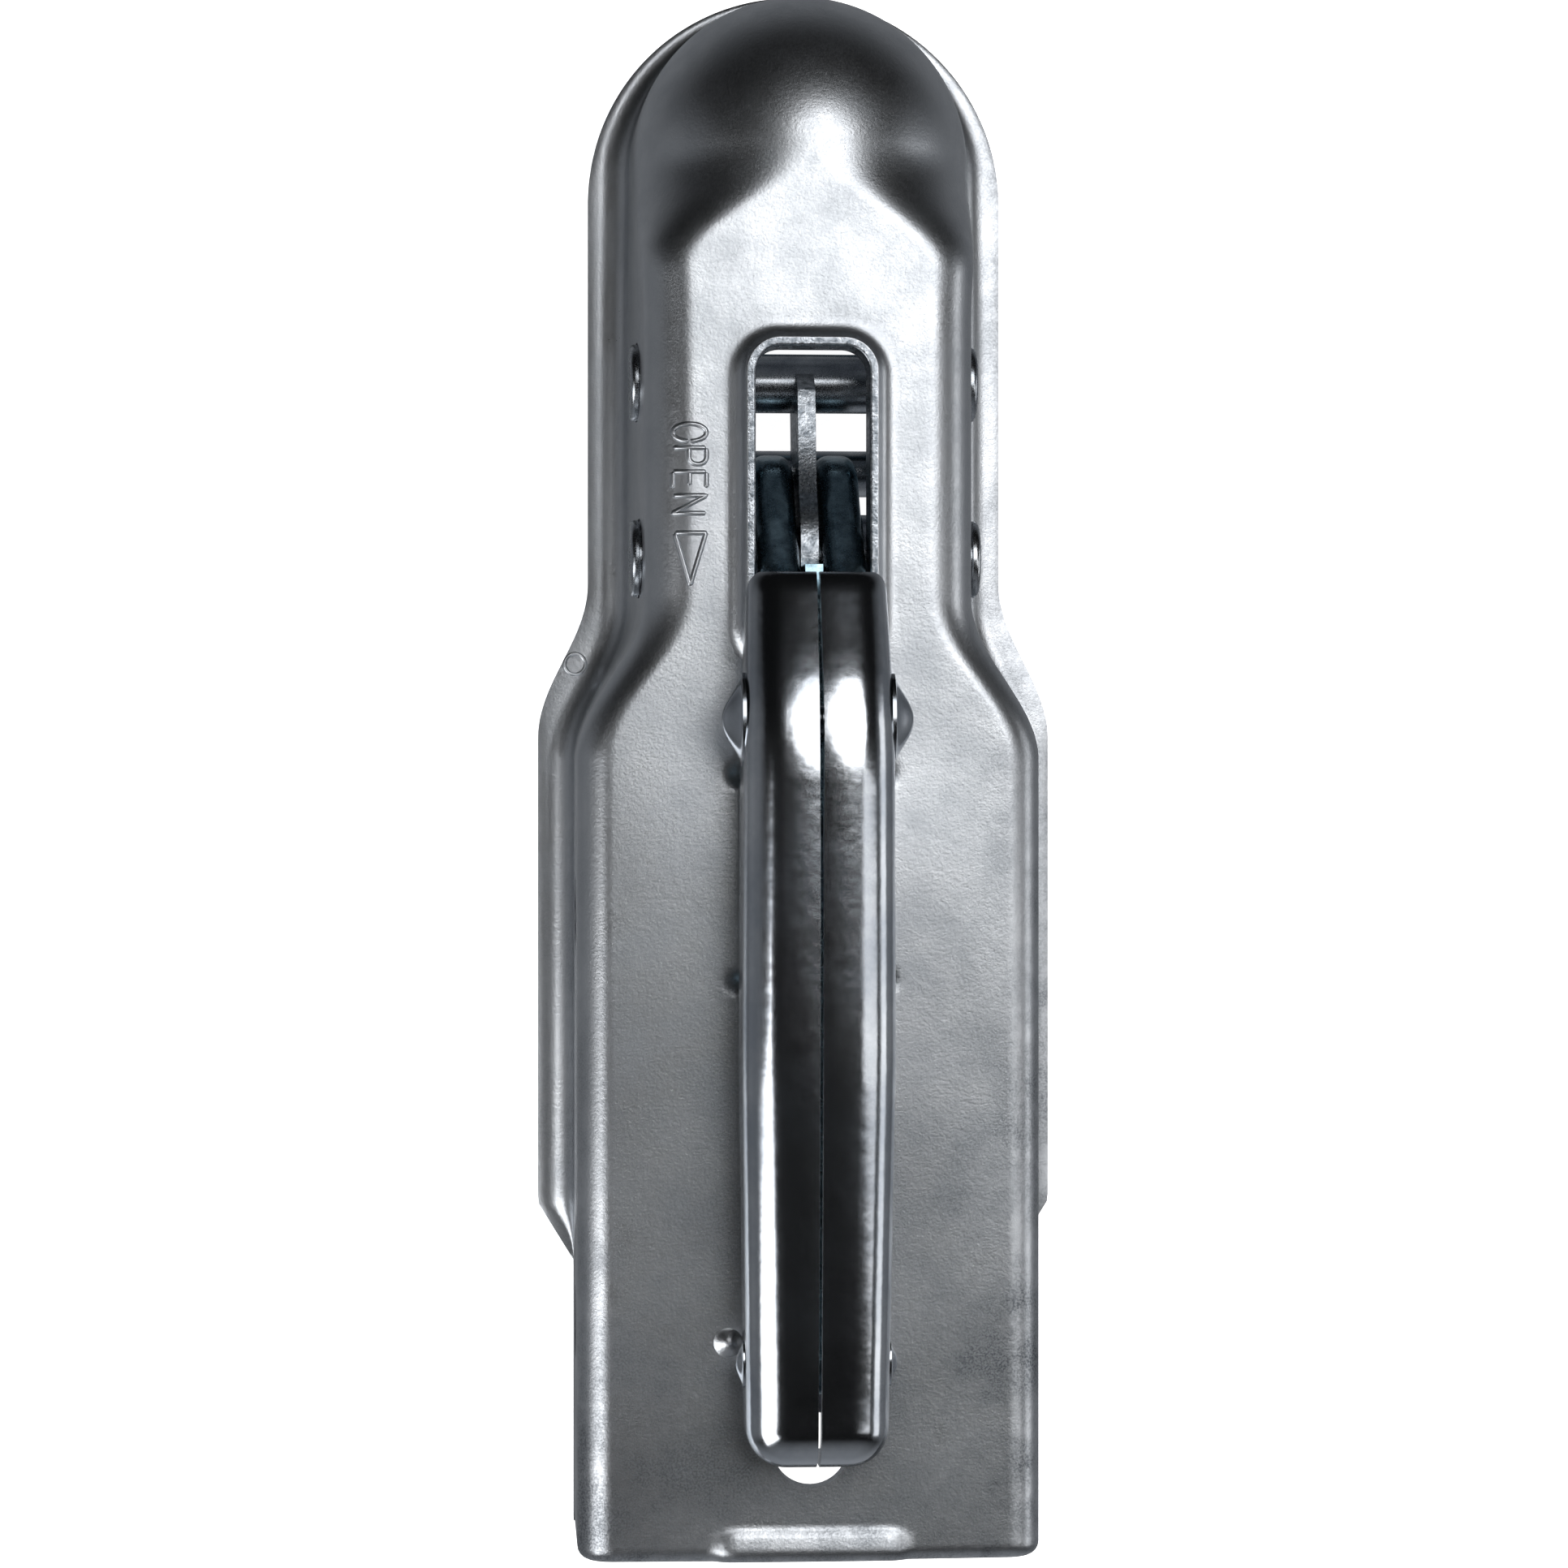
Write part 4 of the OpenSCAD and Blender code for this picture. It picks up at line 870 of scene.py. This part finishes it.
def round_plate(outline, bores, x0, x1, r, step=0.7, turns=6):
    """A plate with round outer edges: the outline moves in by r (1 - sin a) and X by r (1 - cos a)."""
    ring = np.vstack([outline, outline[:1]])
    line = places(ring, np.arange(0, walked(ring)[-1], step))
    ahead = np.roll(line, -2, axis=0) - np.roll(line, 2, axis=0)
    inward = np.column_stack([-ahead[:, 1], ahead[:, 0]]) / np.linalg.norm(ahead, axis=1, keepdims=True)
    turn = np.radians(np.linspace(0, 90, turns + 1))[:, None]
    side_view = line + (r * (1 - np.sin(turn)))[..., None] * inward
    sunk = (r * (1 - np.cos(turn)) + 0 * line[:, 0])[..., None]
    skin = np.concatenate([np.concatenate([x0 + sunk, side_view], axis=-1),
                           np.concatenate([x1 - sunk, side_view], axis=-1)[::-1]])
    loops = [side_view[0]] + [arc(y, z, radius, 0, 360, 48)[:-1] for y, z, radius in bores]
    return join(grid(skin, closed=True), filled(loops, x0), filled(loops, x1),
                *[walled(bore, x0, x1) for bore in loops[1:]])


# %% [markdown]
# ## The cams
# Each cam is a thick plate on the pivot pin: a spiral that presses the clamp shut and a leg that reaches up
# through the slot into the handle. Its edges are rounded by 2.4 mm, because the real ones are tumbled until
# they are smooth.


# %% Cams
def polar(r, a):
    """Point at radius r and angle a in degrees from +Y, round the pivot pin."""
    return [PIVOT_Y + r * math.cos(math.radians(a)), PIVOT_Z + r * math.sin(math.radians(a))]


CAM_ROUND = 2.4
CAM_HUB, CAM_TIP, CAM_FALL, CAM_TIP_A = 13.0, 22.6, 0.105, -60
LEG_END, LEG_BACK, SLOT_BACK, LIP_TOP = -111.6, -79.8, -84.0, 33.0


def leg_top(y):
    """Top of the cam's leg, which follows the roof of the handle from inside."""
    return float(np.interp(y, STATION_Y, STATION_TOP)) - H_ROUND + 1.2


cam_outline = [polar(CAM_HUB, a) for a in range(166, 270, 4)] + [polar(CAM_HUB, 270)]
cam_outline += [polar(CAM_TIP - CAM_FALL * (a - CAM_TIP_A - 6), a) for a in range(CAM_TIP_A, 21, 2)]
cam_outline += [polar(CAM_HUB + 1, 65), [-70, leg_top(-76) - 7]]
cam_outline += [[y, leg_top(y)] for y in (-76, -86, -107.9, LEG_END)]
cam_outline += [[LEG_END, H_LOW + 1.5], [SLOT_BACK - 3, LIP_TOP + 2], [LEG_BACK, LIP_TOP]]
cam_bores = [(PIVOT_Y, PIVOT_Z, PIVOT_BORE), (BOSS_Y, BOSS_Z, RIVET_R)]
for side, word in ((-1, "left"), (1, "right")):
    cam = round_plate(cam_outline, cam_bores, *sorted((side * CAM_IN, side * CAM_OUT)), CAM_ROUND)
    piece("cam_plate_" + word, cam, "handle", blue_zinc, ["cam_" + word])

# %% [markdown]
# ## Catch plate and release lever
# The catch plate stands on edge between the cams and sits on both pins. The release lever is a web with a
# tooth at the front, an eye on the rear rivet and a flat pad for the fingers. Both are outlines pulled out by
# 3 mm.

# %% Catch plate
PLATE_HALF = 1.5
RIM_R, RIM_STEP, RIM_LOW = 14.0, 3.0, 2.0
catch_outline = [polar(RIM_R, a) for a in range(40, 113, 4)]
catch_outline += [polar(RIM_R + RIM_STEP, a) for a in range(118, 159, 4)]
catch_outline += [polar(RIM_R - RIM_LOW, a) for a in range(166, 275, 6)]
catch_outline += [[-48, 0], [-38, -2], [-36.8, 2.4]]
catch_outline += arc(PIN_Y, PIN_Z, PIN_BORE, -76, -90, 3).tolist() + [[PIN_Y - 0.01, PIN_Z - PIN_BORE]]
catch_outline += arc(PIN_Y, PIN_Z, PIN_BORE, 268, 92, 24).tolist()
catch_outline += arc(PIN_Y, PIN_Z, PIN_BORE, 90, 76, 3).tolist()
catch_outline += [[-36.8, 13.6], [-39.8, 17.8], [-47, 19]]
catch = plate(catch_outline, [(PIVOT_Y, PIVOT_Z, PIVOT_BORE)], -PLATE_HALF, PLATE_HALF)
piece("catch_plate_stamped", catch, "housing", sheared_zinc, ["catch_plate"], edge=0.35)

# %% Release lever
TOOTH_Y, LEVER_LOW, LEVER_H, FINGER_LOW, FINGER_T = -72.0, 33.9, 3.5, 31.5, 2.0
FINGER_FRONT, FINGER_BACK, FINGER_HALF, FINGER_R = -119.6, -186.0, 7.5, 4.0
eye_r = RIVET_R + 2.5
lever_top = LEVER_LOW + LEVER_H
lever_outline = [[TOOTH_Y + 2, 26.5], [TOOTH_Y + 2, LEVER_LOW + 1.8], [TOOTH_Y - 12, lever_top],
                 [BOSS_Y - eye_r, lever_top], [FINGER_FRONT, lever_top + FINGER_T]]
lever_outline += arc(EYE_Y, EYE_Z, eye_r, 80, 270, 24).tolist()
lever_outline += [[FINGER_BACK, FINGER_LOW + 0.4], [FINGER_FRONT, FINGER_LOW + 0.4],
                  [FINGER_FRONT + LEVER_H, LEVER_LOW], [TOOTH_Y - 2, LEVER_LOW], [TOOTH_Y - 2, 27.0],
                  [TOOTH_Y, 26.5]]
web = plate(lever_outline, [(EYE_Y, EYE_Z, RIVET_R + RUN_PLAY)], -PLATE_HALF, PLATE_HALF)
corner_x, front_y, back_y = FINGER_HALF - FINGER_R, FINGER_FRONT - FINGER_R, FINGER_BACK + FINGER_R
pad_corners = ((corner_x, front_y), (-corner_x, front_y), (-corner_x, back_y), (corner_x, back_y))
pad_plan = np.concatenate([arc(x, y, FINGER_R, 90 * k, 90 * k + 90, 8)
                           for k, (x, y) in enumerate(pad_corners)])
pad_side, pad_faces = plate(pad_plan, [], FINGER_LOW, FINGER_LOW + FINGER_T)
finger_pad = (pad_side[:, [1, 2, 0]], pad_faces)
piece("release_lever_web", join(web, finger_pad), "release", blue_zinc, ["release_lever"],
      edge=0.35)

# %% [markdown]
# ## The ball clamp
# Behind the ball hangs a yoke of two arms and a hollow pad, which holds the ball from behind. The pad is a
# piece of a ball's surface, so it is a grid over a turn about the ball and a height, once at the inner and
# once at the outer radius. Cut from a whole sphere, it would need two Booleans and some cleaning.

# %% Ball clamp
ARM_HUB, ARM_FOOT, ARM_IN = 9.0, 5.6, ARM_OUT - ARM_T
CLAMP_R, PAD_T, PAD_FRONT, PAD_LOW, PAD_HIGH = 25.4, 4.5, -19.0, -12.5, 3.0
arm_outline = np.concatenate([
    [[PAD_FRONT, PAD_LOW], [PAD_FRONT, PAD_HIGH]], arc(PIN_Y, PIN_Z, ARM_HUB, 45, 165, 16),
    arc(BAR_Y, BAR_Z, ARM_FOOT, 155, 270, 16), [[-CLAMP_R - PAD_T, PAD_LOW]]])
arm_bores = [(PIN_Y, PIN_Z, PIN_BORE), (BAR_Y, BAR_Z, BAR_R)]
arms = [plate(arm_outline, arm_bores, *sorted((side * ARM_IN, side * ARM_OUT))) for side in (-1, 1)]
height = np.linspace(PAD_LOW, PAD_HIGH, 15)[:, None]
cover = []
for r in (CLAMP_R, CLAMP_R + PAD_T):
    flat = np.sqrt(r ** 2 - height ** 2)
    reach = np.arcsin((ARM_IN + 0.2) / flat)
    turn = reach * np.linspace(-1, 1, 33)[None, :]
    cover.append(np.stack([flat * np.sin(turn), -flat * np.cos(turn), height + 0 * turn], axis=-1))
pad = join(grid(cover[0]), grid(cover[1]), *[grid(np.stack([cover[0][k], cover[1][k]])) for k in (0, -1)],
           *[grid(np.stack([cover[0][:, k], cover[1][:, k]])) for k in (0, -1)])
piece("ball_clamp_forged", join(*arms, pad), "clamp", blue_zinc, ["ball_clamp"], edge=0.4)

# %% [markdown]
# ## Springs
# Each spring is a round wire along a path: a straight leg, a few turns round a pin and a second straight leg.
# The path is one array of points. The direction at each point gives two side directions, and a circle laid in
# them at every point makes the wire. A curve with a bevel depth would look the same, while this one is a mesh
# from the start.


# %% Wire and coil
OFF_AXIS = [0.31, 0.17, 0.93]


def wire(path, radius, sides=12):
    """A round wire along a path, with closed ends.

    The first side direction is square to the path and to OFF_AXIS, a direction along which no wire here runs.
    The second is square to both the path and the first.
    """
    path = np.asarray(path, dtype=float)
    ahead = np.gradient(path, axis=0)
    ahead /= np.linalg.norm(ahead, axis=1, keepdims=True)
    across = np.cross(ahead, OFF_AXIS)
    across /= np.linalg.norm(across, axis=1, keepdims=True)
    up = np.cross(ahead, across)
    angle = np.linspace(0, 2 * np.pi, sides, endpoint=False)[None, :, None]
    rings = path[:, None] + radius * (np.cos(angle) * across[:, None] + np.sin(angle) * up[:, None])
    ends = [np.broadcast_to(path[k], (1, sides, 3)) for k in (0, -1)]
    return grid(np.concatenate([ends[0], rings, ends[1]]), closed=True)


def torsion_path(x, y, z, coil_r, turns, pitch, a0, leg_in, leg_out):
    """A leg, a coil about an axis along X and a second leg. The coil moves by pitch along X in each turn."""
    t = np.linspace(0, 1, round(turns * 40) + 1)
    a = np.radians(a0 - 360 * turns * t)
    coil = np.column_stack([x + pitch * turns * t, y + coil_r * np.cos(a), z + coil_r * np.sin(a)])
    first = mix(np.array(leg_in), coil[0], np.linspace(0, 1, 12)[:, None])[:-1]
    last = mix(coil[-1], np.array(leg_out), np.linspace(0, 1, 12)[:, None])[1:]
    return np.concatenate([first, coil, last])


# %% Clamp springs
WIRE_R, COIL_R, COIL_X = 0.8, 6.3, 19.1
leg_start = np.array([PIN_Y - COIL_R, PIN_Z])
leg_way = np.array([BAR_Y, BAR_Z]) - leg_start
leg_long = np.linalg.norm(leg_way)
leg_turn = math.atan2(leg_way[1], leg_way[0]) - math.asin((BAR_R + WIRE_R + 0.3) / leg_long)
leg_tip = leg_start + leg_long * np.array([math.cos(leg_turn), math.sin(leg_turn)])
right_spring = torsion_path(COIL_X, PIN_Y, PIN_Z, COIL_R, turns=2.25, pitch=1.7, a0=180,
                            leg_in=[COIL_X, *leg_tip],
                            leg_out=[NECK_HALF - NECK_BEND + 1.6, PIN_Y - 8, TOP_Z - SHEET - 1.9])
for side, word in ((-1, "left"), (1, "right")):
    spring = piece("clamp_spring_wire_" + word, wire(right_spring * [side, 1, 1], WIRE_R), "housing",
                   wire_zinc, ["clamp_spring_" + word])
    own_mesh(spring)

# %% Lever spring
LEVER_WIRE_R, LEVER_TURNS, LEVER_PITCH, SPRING_END_Y = 0.5, 3.5, 1.1, -178.0
lever_x = -spacer_out + 0.5
spring_end_z = float(np.interp(SPRING_END_Y, STATION_Y, STATION_TOP)) - SHELL - 1.0
lever_coil = torsion_path(lever_x, EYE_Y, EYE_Z, SPACER_R + 0.7, LEVER_TURNS, LEVER_PITCH, a0=-90,
                          leg_in=[-7.0, SPRING_END_Y, 34.1],
                          leg_out=[lever_x + LEVER_TURNS * LEVER_PITCH, SPRING_END_Y, spring_end_z])
lever_wire = piece("lever_spring_wire", wire(lever_coil, LEVER_WIRE_R), "handle", wire_zinc,
                   ["lever_spring"])
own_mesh(lever_wire)

# %% [markdown]
# ## Marks on the head
# Beside the slot the sheet has a word and an arrow that show which way the handle opens. They are strokes
# pressed up from below, so each is a low rounded ridge that follows a line on the surface. A text object
# would have to be bent onto the round shoulder, while a ridge takes its height from the same function as the
# sheet.


# %% Strokes on the surface
def top_at(x, y):
    """Height of the outer skin over the neck at (x, y): the flat top, then the round bend."""
    r = bend_radius(y)
    past = np.clip(np.abs(x) - (half_top(y) - r), 0, r)
    return TOP_Z - r + np.sqrt(r ** 2 - past ** 2)


STROKE_SINK = 0.12


def ridge_along(points, width=0.9, height=0.35, step=0.25):
    """A raised stroke along a line of (x, y) points: half an ellipse carried along it and tapered."""
    points = np.asarray(points, dtype=float)
    total = walked(points)[-1]
    at = np.linspace(0, total, max(8, int(total / step)))
    line = places(points, at)
    ahead = np.gradient(line, axis=0)
    ahead /= np.linalg.norm(ahead, axis=1, keepdims=True)
    side = np.column_stack([-ahead[:, 1], ahead[:, 0]])
    to_end = np.minimum(at, total - at)
    taper = np.sqrt(np.clip(1 - (1 - np.clip(to_end / (width / 2), 0, 1)) ** 2, 0.0025, 1))[:, None]
    turn = np.linspace(0, np.pi, 9)[None, :]
    place = line[:, None] + (taper * width / 2 * np.cos(turn))[..., None] * side[:, None]
    z = top_at(place[..., 0], place[..., 1]) - STROKE_SINK + (height + STROKE_SINK) * taper * np.sin(turn)
    strip = np.concatenate([place, z[..., None]], axis=-1)
    ends = [np.broadcast_to(strip[k].mean(axis=0), (1, *strip.shape[1:])) for k in (0, -1)]
    return grid(np.concatenate([ends[0], strip, ends[1]]), closed=True)


# %% The word and its arrow
WORD_X, WORD_Y, LETTER_H, LETTER_W, LETTER_STEP = -22.9, -46.6, 5.6, 2.9, 3.95
ARROW = [(-22.6, -64.6), (-17.4, -64.6), (-20.0, -73.2), (-22.6, -64.6)]


def on_head(u, v, letter):
    """Place of a letter's point: u along the reading direction, v up the letter, both from 0 to 1."""
    return [WORD_X + v * LETTER_H, WORD_Y - letter * LETTER_STEP - u * LETTER_W]


round_o = [(0.5 + 0.5 * math.cos(a), 0.5 + 0.5 * math.sin(a)) for a in np.linspace(0, 2 * math.pi, 25)]
bowl = [(0.55 + 0.4 * math.sin(a), 0.74 + 0.26 * math.cos(a)) for a in np.linspace(0, math.pi, 9)]
stem = [(0, 0), (0, 1)]
letters = [[round_o],
           [stem, [(0, 1), (0.55, 1), *bowl, (0, 0.48)]],
           [stem, [(0, 1), (0.95, 1)], [(0, 0.5), (0.8, 0.5)], [(0, 0), (0.95, 0)]],
           [[(0, 0), (0, 1), (1, 0), (1, 1)]]]
strokes = [[on_head(u, v, k) for u, v in stroke] for k, letter in enumerate(letters) for stroke in letter]
raised = join(*[ridge_along(stroke) for stroke in strokes + [ARROW]])
piece("open_mark", raised, "housing", drawn_zinc)

# %% [markdown]
# ## A weld drop and a stamped ring
# Beside the end of the handle a round drop stands on the sheet, and the left shoulder has a small stamped
# ring. Both are turned about an upright axis: a radius for the place and a height that follows the soft step.


# %% Drop and ring
def upright(radii, heights, x, y, z, sides=40):
    """Rings of the given radii and heights about an upright axis through (x, y)."""
    angle = np.linspace(0, 2 * np.pi, sides, endpoint=False)
    radii, heights = (np.asarray(v, dtype=float)[:, None] + 0 * angle for v in (radii, heights))
    rings = np.stack([x + radii * np.cos(angle), y + radii * np.sin(angle), z + heights], axis=-1)
    return grid(rings, closed=True)


DROP_X, DROP_Y, DROP_R, DROP_SINK = -13.6, -198.1, 2.6, 0.2
RING_X, RING_Y, RING_R, RING_HALF_WIDE, RING_H = -38.3, -85.1, 1.8, 0.32, 0.22
out = np.linspace(1, 0, 12)
drop_rise = np.concatenate([[-DROP_SINK], ease(1 - out) ** 0.7 - 0.05])
drop_z = TOP_Z + float(top_relief(np.array(DROP_X), np.array(DROP_Y)))
drop = upright(np.concatenate([[0], DROP_R * out]), drop_rise, DROP_X, DROP_Y, drop_z)
piece("weld_drop", drop, "housing", drawn_zinc)
turn = np.linspace(0, 2 * np.pi, 17)
ring_mark = upright(RING_R + RING_HALF_WIDE * np.cos(turn), RING_H * np.sin(turn), RING_X, RING_Y,
                    FOOT_Z + SHEET)
piece("stamped_ring", ring_mark, "housing", drawn_zinc)

# %% [markdown]
# ## The floor
# The floor is plain, pale paper that glows a little, as a sheet lit from below does. The zinc doesn't mirror
# it: a lit floor on all sides would wash out the dark bands that show the shape of the bends.

# %% Floor
FLOOR_HALF = 4.0
signs = [(-1, -1), (1, -1), (1, 1), (-1, 1)]
corners = [(x * FLOOR_HALF, y * FLOOR_HALF, FOOT_Z * MM) for x, y in signs]
floor_mesh = bpy.data.meshes.new("floor")
floor_mesh.from_pydata(corners, [], [(0, 1, 2, 3)])
floor = bpy.data.objects.new("floor", floor_mesh)
bpy.context.scene.collection.objects.link(floor)
paper = bpy.data.materials.new("plain_paper")
paper.use_nodes = True
look = paper.node_tree.nodes["Principled BSDF"].inputs
look["Base Color"].default_value = colour("#F2F2F2")
look["Roughness"].default_value = 0.9
look["Emission Color"].default_value = colour("#FFFFFF")
look["Emission Strength"].default_value = 0.95
floor_mesh.materials.append(paper)
floor.visible_glossy = False
print("Floor:", 2 * FLOOR_HALF, "m wide,", -FOOT_Z, "mm below the ball's centre")

# %% [markdown]
# ## Light
# Zinc only looks bright where it mirrors something bright. A round soft light hangs in front of the nose, to
# the right. It makes the bright flame on the dome and the white top of the neck, and its edge the patches on
# the handle. Two softer panels are on the right, one high and one low, and one behind on the left. The last
# light fills the shadows and isn't mirrored.


# %% Light
AIM_Y = -0.1


def soft_light(name, place, size, power, shape="RECTANGLE", in_gloss=True):
    """An area light in metres and watts that faces the middle of the head."""
    data = bpy.data.lights.new(name, "AREA")
    data.shape = shape
    data.size, data.size_y = size
    data.energy = power
    lamp = bpy.data.objects.new(name, data)
    lamp.location = place
    way = Vector((0, AIM_Y, 0)) - Vector(place)
    lamp.rotation_euler = way.to_track_quat("-Z", "Y").to_euler()
    lamp.visible_glossy = in_gloss
    bpy.context.scene.collection.objects.link(lamp)


soft_light("round_overhead", (0.26, 0.255, 1.10), (0.71, 0.71), 4.1, "ELLIPSE")
soft_light("right_overhead", (0.74, -0.26, 0.92), (0.34, 0.80), 1.1)
soft_light("left_rear_panel", (-0.62, -0.50, 0.52), (0.50, 0.70), 3.4)
soft_light("right_panel", (0.75, -0.17, 0.13), (0.60, 0.26), 0.6)
soft_light("room_fill", (0.3, 0.2, 1.6), (2.0, 2.0), 30, in_gloss=False)

# %% [markdown]
# ## Surroundings
# The room is dark above, so that the bends read as dark lines, and paler near the floor, at the side walls
# and at the rear wall. Each of these is a soft ramp over the direction in which the zinc looks.

# %% Surroundings
world = bpy.data.worlds.new("studio")
bpy.context.scene.world = world
world.use_nodes = True
sky = world.node_tree
sky.nodes.clear()
way = add(sky, "SeparateXYZ", [add(sky, "TexCoord").outputs["Generated"]]).outputs
aside = add(sky, "Math", [way[0]], operation="ABSOLUTE").outputs[0]
dim = add(sky, "MapRange", [way[2], -0.65, -0.05, 0.24, 0.006]).outputs[0]
for direction, start, end, glow in ((aside, 0.84, 1.0, 0.22), (way[1], -0.5, -1.0, 0.30)):
    wall = add(sky, "MapRange", [direction, start, end, 0.0, glow]).outputs[0]
    dim = add(sky, "Math", [dim, wall]).outputs[0]
shell = add(sky, "Background", {"Color": colour("#E8ECF2"), "Strength": dim})
sky.links.new(shell.outputs[0], add(sky, "OutputWorld").inputs[0])
print("Nodes of the surroundings:", len(sky.nodes))

# %% [markdown]
# ## Camera
# The camera hangs 0.7 m over the top, a little to the left of the head, and looks almost straight down. Its
# lens follows from the width of the picture and the focal length, both in pixels.

# %% Camera
PHOTO_SIDE, FOCAL_PX, SENSOR = 1932, 5236, 36.0
CAMERA_PLACE, CAMERA_TILT = (-50.4, -106.0, 728.7), 3.752
camera_data = bpy.data.cameras.new("camera")
camera_data.sensor_width = SENSOR
camera_data.lens = SENSOR * FOCAL_PX / PHOTO_SIDE
camera_data.clip_start = 0.05
camera_data.clip_end = 20.0
camera = bpy.data.objects.new("camera", camera_data)
camera.location = [v * MM for v in CAMERA_PLACE]
camera.rotation_euler = (0.0, -math.radians(CAMERA_TILT), 0.0)
bpy.context.scene.collection.objects.link(camera)
bpy.context.scene.camera = camera
bpy.context.scene.view_settings.view_transform = "Standard"
bpy.context.scene.view_settings.look = "None"
print("Lens:", round(camera_data.lens, 2), "mm")
